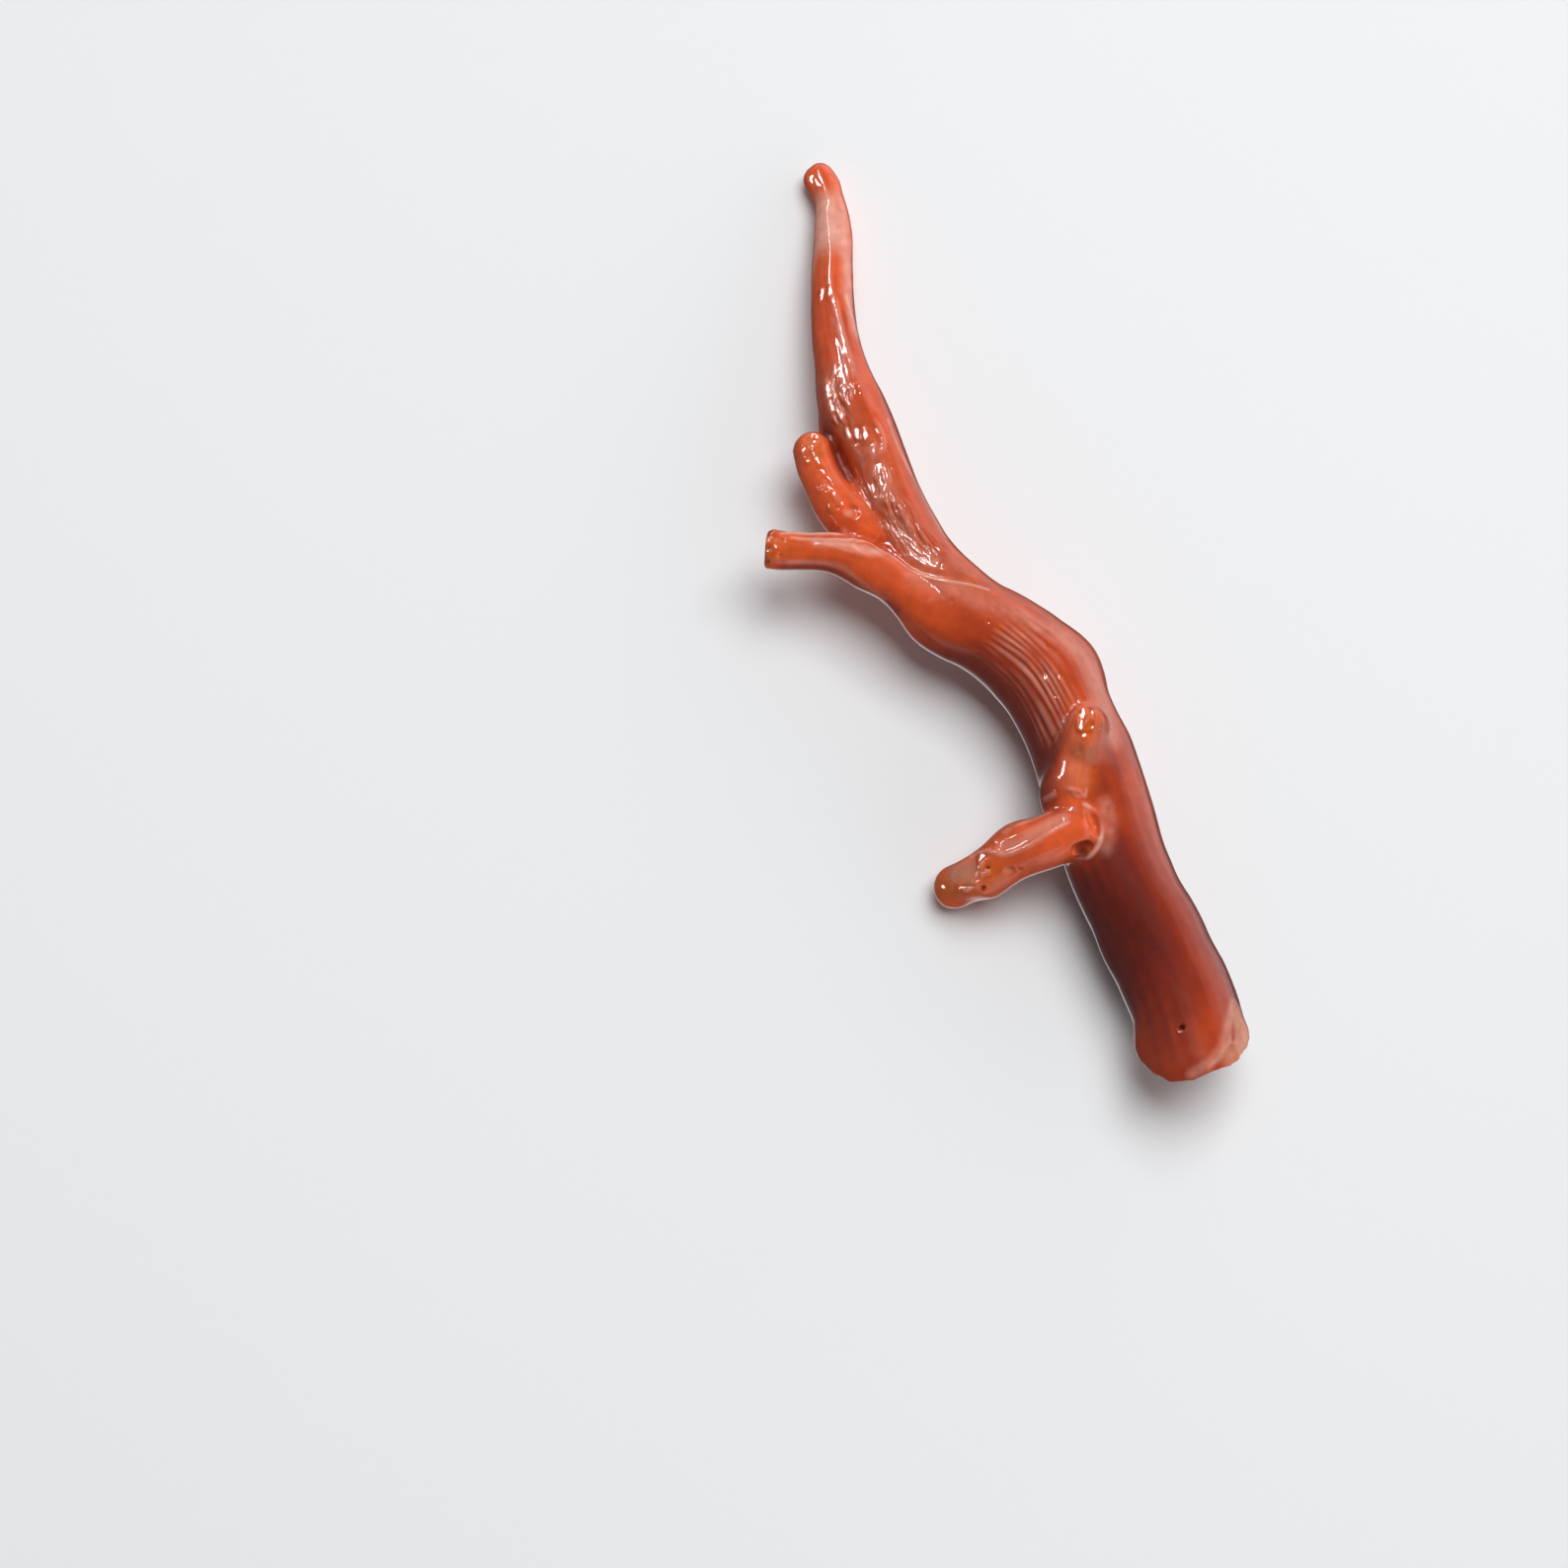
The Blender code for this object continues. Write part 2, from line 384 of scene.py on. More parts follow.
def strokes(brush, *rows, **shape):
    """Lay strokes of one brush, one after the other. A row holds what one stroke is told."""
    for row in rows:
        brush(*row, **shape)
    print(f"{brush.__name__}: {len(rows)} strokes")


# %% [markdown]
# ## Flats that flash
#
# Hand-ground coral isn't evenly round, so its polish flashes in short streaks. A streak is a narrow flat
# that happens to face half-way between the eye and a window. So the windows are placed here, in thought,
# and a brush turns a strip of the skin to face half-way to one of them.

# %% Turn a flat to a window
WINDOW_WAY = np.array((-0.25, 0.48, 0.84))
LOW_WINDOW_WAY = np.array((-0.80, 0.33, 0.48))
GAP_WAY = np.array((-0.22, 0.74, 0.64))   # a tall narrow gap, for the one long streak
WINDOW_FAR = 700          # millimetres
EYE = np.array(bpy.context.scene.camera.location) / MM


def spark(path, width, window=WINDOW_WAY, share=1.0, follow=False):
    """Turn a strip along a path to flash a window at the eye. A strip that follows its path may bend."""
    global place
    path = [place[np.linalg.norm(place - np.array(at), axis=1).argmin()] for at in path]
    middle = np.mean(path, axis=0)
    to_eye, to_window = EYE - middle, window * WINDOW_FAR - middle
    faces = to_eye / np.linalg.norm(to_eye) + to_window / np.linalg.norm(to_window)
    faces /= np.linalg.norm(faces)
    off, _ = nearness(path, width)
    # The strip is wholly flat over its middle half, and fades out to its edges.
    near = share * np.clip(2.2 - 2.2 * np.linalg.norm(off, axis=1) / width, 0, 1)
    off = np.nan_to_num(off, posinf=0.0) if follow else place - middle
    place = place - faces * (off @ faces * near)[:, None]


# %% [markdown]
# ## The broad shapes
#
# The broad shapes come first, while the net is still coarse. The knob grows out of the trunk without a
# crevice, so the seams on both sides of it are smoothed away. The trunk swells a little at its shoulder.
# Above the fork lies a long hollow, and the leader's end is ground to a slanting facet.

# %% Shape the forks, the hollows and the facets
SAWN_RIM = [(10.3, -31.6, 1.0), (9.9, -34.8, 4.0), (11.8, -37.3, 6.9), (14.8, -37.5, 8.0),
            (17.0, -35.6, 6.8), (17.6, -32.5, 3.9), (15.8, -30.0, 1.0)]
# The sawn rim, the knob's two seams, and the seam of the side branch.
strokes(soften,
        (SAWN_RIM, 1.9, 60),
        ([(3.2, -10.2, 6.9), (3.2, -12.5, 6.6), (3.0, -15.0, 6.2)], 1.7, 50),
        ([(7.4, -9.4, 7.8), (7.6, -12.5, 7.6), (7.5, -15.5, 7.6)], 2.0, 90),
        ([(-1.9, -5.4, 4.0), (-2.4, -4.6, 6.4), (-3.2, -2.8, 7.5)], 2.1, 70))
# The shoulder, the knob, the trunk's flanks, the foot, the twig's foot, and the leader's tip.
strokes(pull,
        ((6.9, -4.2, 4.4), 3.8, (0.38, 0.30, 0)),
        ((2.8, -15.4, 6.2), 2.6, (-0.45, 0, 0.1)), ((6.3, -11.0, 8.4), 2.8, (-0.32, 0, 0)),
        ((6.0, -12.5, 8.6), 1.5, (0, 0, 0.30)), ((6.1, -10.0, 9.3), 1.3, (0, 0, -0.30)),
        ((13.6, -22.7, 4.5), 3.0, (-0.26, 0, 0)), ((15.0, -25.6, 4.5), 3.0, (-0.22, 0, 0)),
        ((7.8, -8.6, 4.4), 3.0, (-0.30, 0, 0)), ((7.5, -27.2, 3.6), 2.6, (-0.26, 0, 0)),
        ((17.7, -34.4, 4.8), 2.8, (0.42, -0.05, 0)), ((10.0, -35.8, 4.0), 2.8, (-0.30, -0.80, 0)),
        ((15.2, -37.2, 7.4), 2.4, (0, 0.55, 0)), ((9.8, -34.4, 4.2), 2.6, (-0.42, 0, 0)),
        ((11.5, -36.9, 6.0), 2.4, (-0.15, -0.62, 0)), ((14.3, -38.0, 8.0), 1.5, (0, 0.18, 0)),
        ((17.0, -35.0, 7.0), 1.6, (-0.10, 0, 0.45)),
        ((0.8, -18.9, 5.6), 2.6, (-0.15, 0.45, 0)), ((-2.4, -23.2, 2.6), 2.4, (0.15, 0.45, 0)),
        ((-14.6, 36.4, 1.6), 1.6, (-0.25, 0.05, 0)), ((-12.4, 36.2, 1.6), 1.4, (0.15, 0.08, 0)),
        ((-13.5, 37.9, 1.4), 1.5, (0, 0.20, 0)))
# The knob's swelling, the hollow above the fork, and the leader's right flank.
strokes(raise_line,
        ([(4.9, -14.9, 8.1)], 1.8, 0.20),
        ([(-9.8, 6.6, 6.5), (-8.0, 4.9, 6.8), (-6.2, 3.3, 7.1), (-4.2, 2.2, 7.5)], 1.7, -0.36),
        ([(-11.6, 25.5, 4.4), (-10.8, 22.0, 4.9), (-9.7, 19.0, 5.6), (-8.6, 16.2, 5.9)], 1.0, 0.14),
        ([(-10.5, 20.4, 5.6), (-9.8, 17.6, 6.2), (-9.0, 14.8, 6.4)], 0.8, -0.10))
flatten((-12.1, 31.5, 3.5), (0.12, 0.26, 0.96), 2.4, share=0.8)
pull((-14.2, 33.6, 1.6), 1.6, (0.20, 0, 0))
settle()
print("the net after the broad shapes, mm:", place.min(0).round(2), place.max(0).round(2))

# %% [markdown]
# ## A finer net where the fine work is
#
# A wrinkle is a quarter of a millimetre wide, so the net must be finer than that, but only where there are
# wrinkles, pits and grooves. Subdivide halves the faces there, and leaves the rest of the skin as it is.
# A flat subdivision keeps the old facets, so a few rounds of smoothing follow.

# %% Subdivide the skin round the fine work
FINE_WORK = {
    "tip": ([(-13.9, 36.6, 2.1), (-13.4, 35.5, 2.5)], 0.8),
    "leader ridge": ([(-12.9, 26.3, 4.6), (-12.0, 22.0, 5.4), (-11.3, 18.5, 6.2)], 1.2),
    "leader wrinkles": ([(-11.6, 17.6, 6.4), (-11.2, 14.5, 6.6), (-9.6, 11.5, 6.8), (-8.6, 8.6, 6.9)], 2.0),
    "hollow and crease": ([(-8.6, 7.6, 6.8), (-7.4, 4.6, 7.0), (-5.2, 2.2, 7.4), (-1.6, 0.4, 7.9)], 2.0),
    "thumb": ([(-14.0, 12.6, 6.0), (-13.2, 10.0, 6.5), (-12.0, 7.2, 6.5), (-10.4, 6.0, 6.4)], 1.7),
    "side branch": ([(-17.6, 3.5, 7.0), (-14.5, 4.2, 7.6), (-11.5, 4.2, 7.4), (-9.4, 3.2, 7.3)], 1.7),
    "shoulder": ([(0.2, -3.8, 8.1), (2.6, -6.2, 8.1), (3.9, -9.2, 7.8), (3.4, -12.4, 7.0)], 2.5),
    "knob": ([(6.4, -9.4, 8.8), (5.7, -11.5, 8.9), (5.2, -14.0, 8.3), (5.0, -16.6, 8.0)], 2.2),
    "bend": ([(6.6, -17.3, 7.7), (7.0, -18.8, 7.7), (5.8, -20.2, 7.4)], 1.7),
    "twig foot": ([(5.2, -18.9, 8.1), (2.0, -19.8, 7.8), (-1.4, -21.1, 5.6), (-4.2, -21.7, 3.0)], 2.1),
    "sawn rim": ([(9.4, -33.2, 2.4), (10.4, -35.8, 6.0), (13.0, -37.0, 7.9), (15.6, -35.6, 7.6),
                  (16.8, -32.4, 6.4)], 1.5),
    "pinhole": ([(12.5, -33.5, 7.7)], 0.9),
}


def refine(places, rounds):
    """Halve the faces near the given places, and round off the old facets."""
    near = np.zeros(len(place), bool)
    for path, width in places.values():
        near |= np.linalg.norm(nearness(path, width)[0], axis=1) < width
    faces = np.empty(len(skin.data.polygons) * 4, np.int32)
    skin.data.polygons.foreach_get("vertices", faces)
    chosen = near[faces.reshape(-1, 4)].any(1)
    deselect_all()
    skin.select_set(True)
    bpy.context.view_layer.objects.active = skin
    bpy.ops.object.mode_set(mode="EDIT")
    bpy.ops.mesh.select_mode(type="FACE")
    bpy.ops.mesh.select_all(action="DESELECT")
    bpy.ops.object.mode_set(mode="OBJECT")
    skin.data.polygons.foreach_set("select", chosen)
    bpy.ops.object.mode_set(mode="EDIT")
    bpy.ops.mesh.subdivide(number_cuts=1)
    bpy.ops.mesh.vertices_smooth(factor=0.5, repeat=rounds)
    bpy.ops.object.mode_set(mode="OBJECT")


refine(FINE_WORK, rounds=3)
place, facing = read_net()
relief = np.zeros(len(place))
triangles = sum(len(face.vertices) - 2 for face in skin.data.polygons)
print("finer round:", ", ".join(FINE_WORK))
print("finer net:", len(place), "places,", triangles, "triangles")

# %% [markdown]
# ## The run of the grain
#
# Coral has a grain, as wood has. Fine grooves run lengthwise along each limb, over the channels that once
# fed the living skin. To draw them, every vertex must know where it lies on its own limb: how far along,
# and how far round. At a fork the vertex belongs a little to each limb, so its grooves fade together.

# %% Find every vertex's place along and round its limb
FORK_SOFTNESS = 0.5       # millimetres over which one limb's grain gives way to another's


def limb_places(places):
    """For each vertex: millimetres along the limb, millimetres round it, and how far outside it."""
    line = smooth_line(places)
    middles, radii = line[:, :3], line[:, 3]
    onward = np.gradient(middles, axis=0)
    onward /= np.linalg.norm(onward, axis=1)[:, None]
    lengths = np.concatenate([[0], np.cumsum(np.linalg.norm(np.diff(middles, axis=0), axis=1))])
    squares = (place ** 2).sum(1)[:, None] + (middles ** 2).sum(1) - 2 * place @ middles.T
    ring = squares.argmin(1)
    out = place - middles[ring]
    past = (out * onward[ring]).sum(1)
    out -= past[:, None] * onward[ring]
    up = np.array([0, 0, 1.0]) - onward[ring, 2:3] * onward[ring]
    up /= np.linalg.norm(up, axis=1)[:, None]
    side = np.cross(onward[ring], up)
    turn = np.arctan2((out * side).sum(1), (out * up).sum(1))
    outside = np.linalg.norm(out, axis=1) - radii[ring] + np.clip(np.abs(past) - 0.3, 0, None)
    return lengths[ring] + past, turn * radii.mean(), outside


grain = {name: limb_places(places) for name, places in LIMBS.items()}
closeness = {name: np.exp(-np.clip(outside, -1, 20) / FORK_SOFTNESS)
             for name, (_, _, outside) in grain.items()}
total = sum(closeness.values())
share = {name: near / total for name, near in closeness.items()}
for name in LIMBS:
    print(f"{name}: {int((share[name] > 0.5).sum())} vertices")


# %% Noise that runs with the grain
def cloud(points, seed):
    """Soft noise from about -1 to 1 at each point. Each seed looks at another part of the noise."""
    return np.array([noise.noise(Vector(point) + Vector((seed * 7.3, seed * 3.1, seed * 5.7)))
                     for point in points]) * 1.6


def with_grain(along_size, round_size, seed, where=None):
    """Noise drawn out along the limbs: patches so many millimetres long and so many wide."""
    whole = np.zeros(len(place))
    where = np.ones(len(place), bool) if where is None else where
    for number, (name, (along, around, _)) in enumerate(grain.items()):
        here = (share[name] > 0.02) & where
        points = np.stack([along / along_size, around / round_size, np.zeros(len(along))], 1)[here]
        if len(points):
            whole[here] += share[name][here] * cloud(points, seed + number)
    return whole


BEND_LONG, BEND_WIDE = 6.0, 1.6           # millimetres over which a groove bends to and fro


def grooves(spacing, wander, seed):
    """Sharp lengthwise grooves about a spacing apart, which wander to and fro: 0 in a groove, 1 on a rib."""
    whole = np.zeros(len(place))
    for number, (name, (along, around, _)) in enumerate(grain.items()):
        here = share[name] > 0.02
        points = np.stack([along / BEND_LONG, around / BEND_WIDE, np.zeros(len(along))], 1)[here]
        bend = wander * cloud(points, seed + number)
        whole[here] += share[name][here] * np.abs(np.sin(math.pi * (around[here] / spacing + bend))) ** 0.7
    return whole


# %% [markdown]
# ## Uneven polish and growth grooves
#
# Grinding and polishing left the branch a little uneven, so light slides over it in soft bands. Two layers
# of drawn-out noise do that, weaker on the stout trunk. The growth grooves are cut all over, but they are
# deep only on the shoulder below the fork, where the polishing wheel never reached the bottom of them.

# %% Uneven polish and growth grooves
GROOVE_SPACING = 0.42     # millimetres between the grooves, on a limb of middling thickness
GROOVE_DEPTH = 0.16
SWELL = 0.055             # how high the broad unevenness stands, in millimetres
RIPPLE = 0.022            # and the finer one
TWIG_LEVEL = -14.0        # the trunk is stout from here down

sawn = np.clip(facing @ np.array(SAW_CUT[1].normalized()) * 8 - 6, 0, 1)
stout = np.clip((TWIG_LEVEL - place[:, 1]) / 4.0, 0, 1) * share["stem"]
uneven = SWELL * with_grain(8.0, 3.0, seed=1) + RIPPLE * with_grain(4.0, 1.0, seed=2)
place = place + facing * (uneven * (1 - 0.75 * stout) * (1 - sawn))[:, None]
settle()

shoulder = touch([(-0.6, -3.2, 8.1), (2.2, -5.9, 8.1), (3.7, -9.0, 7.8), (3.4, -12.4, 7.0)], 3.2, taper=0.2)
worn = np.clip(0.7 + 0.7 * with_grain(2.6, 0.7, seed=3), 0, 2)
grooved = (0.06 * (1 - 0.6 * stout) + 0.94 * shoulder) * worn
cut = GROOVE_DEPTH * grooved * (grooves(GROOVE_SPACING, wander=0.7, seed=4) - 0.6) * (1 - sawn)
place = place + facing * cut[:, None]
relief += cut
settle()
print("grooves on the shoulder reach", int((shoulder > 0.5).sum()), "vertices")

# %% [markdown]
# ## The leader and its pimples
#
# The thin leader is faceted rather than round: one sharp ridge runs up its front, and its right flank is
# a shallow facet. Below them are two pimples, where polyps sat, and a hollow full of wrinkles that the
# polishing wheel could not reach.

# %% Wrinkles and rough places
def wrinkle(path, width, depth, along_size, round_size, seed):
    """Irregular folds that run with the grain."""
    global place
    strength = touch(path, width)
    folds = 1 - 2 * np.abs(with_grain(along_size, round_size, seed, strength > 0.01))
    change = depth * strength * folds
    place = place + facing * change[:, None]
    relief[:] += change


def roughen(path, width, depth, size, seed):
    """Small bumps and dents with no direction, so many millimetres across."""
    global place
    strength = touch(path, width)
    here = strength > 0.01
    bumps = np.zeros(len(place))
    bumps[here] = cloud(place[here] / size, seed)
    place = place + facing * (depth * strength * bumps)[:, None]


# %% Shape the leader
raise_line([(-12.6, 25.6, 4.8), (-12.2, 23.9, 5.1), (-11.8, 21.8, 5.5), (-11.3, 19.7, 6.0),
            (-10.9, 17.4, 6.6)], 0.45, 0.14, keen=True, taper=0.1)
strokes(raise_line,
        ([(-12.9, 21.8, 4.9), (-12.5, 19.4, 5.5), (-12.0, 16.4, 6.2)], 0.5, 0.08),
        ([(-13.35, 25.7, 4.5)], 0.32, 0.10), ([(-12.65, 25.7, 4.8)], 0.40, 0.08),
        ([(-10.8, 16.9, 6.7)], 0.30, 0.14), ([(-10.5, 16.3, 6.7)], 0.30, 0.14),
        ([(-11.2, 30.6, 3.3)], 0.6, -0.08), ([(-11.9, 29.3, 4.0)], 0.5, -0.07))
settle()

spark([(-12.8, 17.0, 6.1), (-12.3, 14.8, 6.2)], 1.0, share=0.6)
wrinkle([(-12.6, 18.2, 6.0), (-12.2, 15.6, 6.3), (-11.4, 13.4, 6.4)], 1.2, 0.11, 1.4, 0.30, 11)
COMB = (                  # the short ridges that stand side by side in the wrinkles
    [(-13.0, 17.7, 5.8), (-12.7, 16.4, 6.1), (-12.4, 15.2, 6.3)],
    [(-12.6, 17.2, 6.1), (-12.4, 15.9, 6.3)], [(-12.2, 15.6, 6.4), (-12.0, 14.2, 6.3)],
    [(-12.4, 19.0, 6.1), (-12.1, 17.4, 6.4)], [(-12.0, 16.9, 6.5), (-11.7, 15.6, 6.6)],
    [(-11.8, 15.2, 6.6), (-11.8, 13.6, 6.2)], [(-11.4, 13.6, 6.3), (-11.3, 12.3, 6.0)],
    [(-11.1, 16.6, 6.8), (-11.1, 15.4, 6.8)])
for ridge in COMB:
    raise_line(ridge, 0.28, 0.16, keen=True)
settle()

for pimple, height in (((-10.1, 12.6, 6.9), 0.36), ((-8.8, 9.5, 6.9), 0.26)):
    raise_line([pimple], 1.5, -0.18)
    raise_line([pimple], 0.95, height)
settle()
raise_line([(-9.4, 14.1, 6.7), (-8.9, 13.3, 6.6), (-8.6, 12.3, 6.6), (-8.8, 11.1, 6.8)], 0.30, 0.12,
           keen=True)
raise_line([(-10.3, 12.8, 7.1), (-10.2, 12.3, 7.1)], 0.22, -0.08)
wrinkle([(-10.5, 12.8, 7.0)], 0.8, 0.08, 0.7, 0.28, 13)
for ridge in ([(-9.15, 9.9, 6.9), (-9.25, 8.9, 6.8)], [(-8.75, 10.1, 7.0), (-8.6, 9.0, 7.0)],
              [(-8.3, 9.7, 6.9), (-8.1, 8.6, 6.8)]):
    raise_line(ridge, 0.26, 0.14, keen=True)
wrinkle([(-9.3, 10.6, 6.9), (-8.5, 8.6, 6.9)], 1.1, 0.08, 0.9, 0.28, 17)
settle()

# %% Shape the wrinkled hollow over the fork, and the crease below it
spark([(-8.9, 10.0, 6.8), (-8.4, 9.0, 6.8)], 0.8, share=0.4)
spark([(-8.0, 5.4, 6.8), (-7.2, 4.2, 6.8)], 0.9, share=0.6)
spark([(-7.0, 4.0, 6.9), (-5.8, 3.1, 7.1)], 0.9, share=0.6)
strokes(wrinkle,
        ([(-9.4, 9.0, 6.8), (-8.0, 6.6, 6.9), (-6.6, 4.4, 6.9), (-4.8, 2.6, 7.3)], 1.7, 0.14, 1.8, 0.34, 23),
        ([(-8.6, 6.2, 6.8), (-7.2, 4.4, 6.9), (-5.6, 2.6, 7.2)], 1.4, 0.08, 1.1, 0.24, 29))
CREASE = [(-10.9, 4.6, 6.9), (-9.9, 4.4, 6.8), (-8.9, 3.8, 6.9), (-7.9, 2.8, 7.2), (-6.8, 1.9, 7.4),
          (-5.7, 1.2, 7.6), (-4.6, 0.8, 7.9), (-3.4, 0.5, 8.0), (-2.0, 0.3, 7.9), (-0.9, 0.0, 7.7)]
raise_line(CREASE, 0.9, -0.20, towards=(0.5, 0.8, 0.0), taper=0.15)
settle()
raise_line(CREASE, 0.38, 0.20, keen=True, taper=0.2)
settle()

# %% [markdown]
# ## The side branch and the thumb
#
# The side branch was cut off short, and its end stayed raw and pitted. A thin edge runs along its top to
# an almond-shaped facet at the fork. The thumb is a stub with an amber tip, and small lumps lie at its
# foot.

# %% Shape the side branch and the thumb
strokes(flatten,
        ((-12.4, 4.2, 7.32), (0.0, 0.45, 0.89), 1.2), ((-11.0, 4.0, 7.30), (0.05, 0.48, 0.88), 1.2),
        ((-9.8, 3.5, 7.32), (0.10, 0.45, 0.89), 1.2))
SLIVER = [(-16.4, 4.5, 7.3), (-15.2, 4.6, 7.2), (-13.1, 4.6, 7.1), (-11.0, 4.8, 6.5)]
EDGE = [(-15.6, 4.1, 7.4), (-13.5, 4.0, 7.4), (-10.9, 4.0, 7.3), (-9.9, 3.9, 6.9), (-9.2, 3.5, 6.9),
        (-8.5, 3.0, 7.1)]
strokes(raise_line,
        (SLIVER, 0.34, 0.24),
        ([(-15.4, 4.25, 7.4), (-13.3, 4.2, 7.3), (-11.2, 4.3, 7.0)], 0.26, -0.09),
        (EDGE, 0.28, 0.12),
        ([(-13.8, 3.6, 7.6), (-12.7, 3.4, 7.7), (-10.6, 2.7, 7.8), (-9.5, 2.5, 7.8), (-9.0, 2.9, 7.5)],
         0.26, 0.08), keen=True)
pull((-8.6, -0.9, 5.0), 3.2, (0.10, 0.55, 0.15))
strokes(raise_line,
        ([(-16.9, 4.5, 7.4)], 0.55, 0.32), ([(-16.7, 3.4, 7.7), (-16.9, 2.2, 7.3)], 0.4, 0.10))
roughen([(-17.6, 3.6, 6.8), (-16.6, 3.6, 7.6)], 1.5, 0.05, 0.35, 31)
strokes(raise_line,
        ([(-17.3, 3.3, 7.5)], 0.36, -0.24), ([(-17.6, 4.2, 7.0)], 0.28, -0.24),
        ([(-17.5, 2.4, 6.9)], 0.30, -0.24), ([(-16.5, 2.7, 7.5)], 0.22, -0.24),
        ([(-16.3, 3.9, 7.7)], 0.20, -0.24))
settle()

for x, y, z in ((-13.8, 11.1, 6.4), (-13.4, 10.5, 6.4), (-13.0, 9.8, 6.5), (-12.6, 9.1, 6.5)):
    raise_line([(x, y, z), (x + 0.25, y - 0.35, z)], 0.34, 0.08, taper=0)
flatten((-14.2, 12.3, 6.15), (-0.05, 0.40, 0.91), 1.0)
roughen([(-14.2, 12.2, 6.1)], 1.2, 0.05, 0.30, 37)
strokes(raise_line,
        ([(-14.4, 10.9, 6.2)], 0.34, 0.09), ([(-13.4, 8.4, 6.2)], 0.32, 0.09),
        ([(-12.8, 8.2, 6.5)], 0.30, 0.09), ([(-12.7, 6.9, 6.3)], 0.45, 0.10),
        ([(-12.2, 6.9, 6.5)], 0.22, -0.12), ([(-11.7, 7.1, 6.6)], 0.25, 0.06),
        ([(-12.2, 5.6, 6.0)], 0.35, 0.10))
flatten((-11.1, 6.5, 6.42), (0.05, 0.25, 0.97), 0.7)
settle()

# %% [markdown]
# ## The hooked twig
#
# The twig rises from the front of the trunk in a knob, bends over, and runs down to one side. Its bend has
# a thin curled lip with a hollow under it, and its foot was nipped off and ground in small facets.

# %% Shape the knob
raise_line([(6.5, -8.4, 8.0), (7.4, -9.4, 8.3), (8.1, -10.8, 7.9), (8.6, -12.6, 7.3)], 0.35, 0.20,
           keen=True)
strokes(raise_line,
        ([(6.9, -10.0, 8.6), (7.3, -11.4, 8.3)], 0.35, -0.10),
        ([(5.8, -10.3, 9.4), (5.6, -11.8, 9.2)], 0.55, 0.14),
        ([(6.45, -10.5, 9.4), (6.4, -11.7, 9.3)], 0.34, 0.12),
        ([(5.9, -12.1, 9.1)], 0.40, 0.08), ([(6.4, -9.7, 9.3)], 0.36, -0.55))
roughen([(5.7, -11.0, 9.2), (5.5, -13.4, 8.7)], 1.0, 0.025, 0.60, 41)
raise_line([(5.6, -12.6, 8.9), (5.5, -13.2, 8.7)], 0.35, -0.07)
strokes(raise_line,
        ([(3.9, -14.4, 7.6), (4.1, -15.2, 7.8)], 0.28, 0.05),
        ([(4.9, -15.7, 8.1), (5.3, -16.3, 8.1), (5.9, -16.2, 8.0), (6.0, -15.6, 8.0)], 0.26, 0.11),
        ([(4.4, -15.7, 8.1), (5.3, -15.8, 8.1), (5.9, -16.2, 8.0), (6.0, -15.6, 8.0)], 0.26, 0.11),
        ([(3.0, -16.2, 6.6), (3.9, -15.9, 7.6)], 0.40, 0.24), keen=True)
settle()

# %% Shape the bend
LIP = [(5.9, -16.8, 7.9), (6.6, -17.2, 7.8), (7.0, -18.0, 7.8), (7.1, -19.0, 7.7), (6.8, -19.9, 7.4),
       (6.1, -20.6, 7.0), (5.2, -20.8, 6.5)]
raise_line([(5.9, -17.9, 8.2), (6.3, -18.8, 8.1), (6.2, -19.5, 7.9)], 0.55, -0.16)
raise_line(LIP, 0.30, 0.22, keen=True, taper=0.15)
settle()
raise_line([(5.3, -20.1, 7.5), (6.0, -19.9, 7.5)], 0.62, -0.62, taper=0)
roughen([(7.6, -16.8, 7.5), (7.8, -18.6, 7.4)], 0.6, 0.025, 0.35, 43)
settle()

# %% Shape the foot of the twig
BELT = [(4.6, -18.3, 8.4), (3.0, -19.2, 8.1), (2.0, -19.8, 7.7), (1.2, -20.1, 7.2), (0.0, -20.3, 6.6),
        (-1.3, -19.8, 5.8), (-2.3, -19.9, 4.6)]
OVER_BELT = [(4.2, -17.9, 8.2), (2.4, -18.8, 8.0), (1.0, -19.5, 7.4), (-0.2, -19.8, 6.6)]
raise_line(OVER_BELT, 0.70, -0.09)
raise_line([(3.6, -17.0, 7.6), (2.0, -17.6, 7.3), (0.6, -18.3, 6.8)], 0.32, 0.18, keen=True)
raise_line([(-0.7, -19.3, 5.9), (0.0, -19.2, 6.2)], 0.40, 0.26)
settle()
raise_line(BELT, 0.32, 0.13, keen=True)
raise_line([(4.2, -19.6, 8.2), (2.6, -20.4, 7.7), (1.4, -20.8, 7.0)], 0.6, 0.09)
flatten((-3.0, -20.95, 4.27), (-0.58, 0.08, 0.81), 1.9)
settle()
strokes(raise_line,
        ([(-1.5, -20.2, 5.7), (-1.6, -20.7, 5.7), (-1.9, -21.4, 5.3), (-2.5, -22.2, 4.6),
          (-2.9, -22.5, 4.2)], 0.30, 0.24),
        ([(-1.0, -21.3, 5.9), (-1.6, -21.6, 5.5), (-1.9, -21.9, 5.3)], 0.26, 0.16),
        ([(-1.9, -20.2, 5.4), (-1.7, -20.8, 5.6)], 0.24, 0.14),
        ([(-2.0, -22.1, 5.1), (-2.6, -22.5, 4.5), (-3.3, -22.6, 3.9)], 0.28, 0.20),
        ([(-1.2, -22.6, 4.7), (-1.5, -22.8, 4.4), (-1.9, -22.9, 4.1)], 0.24, 0.12), keen=True, taper=0.15)
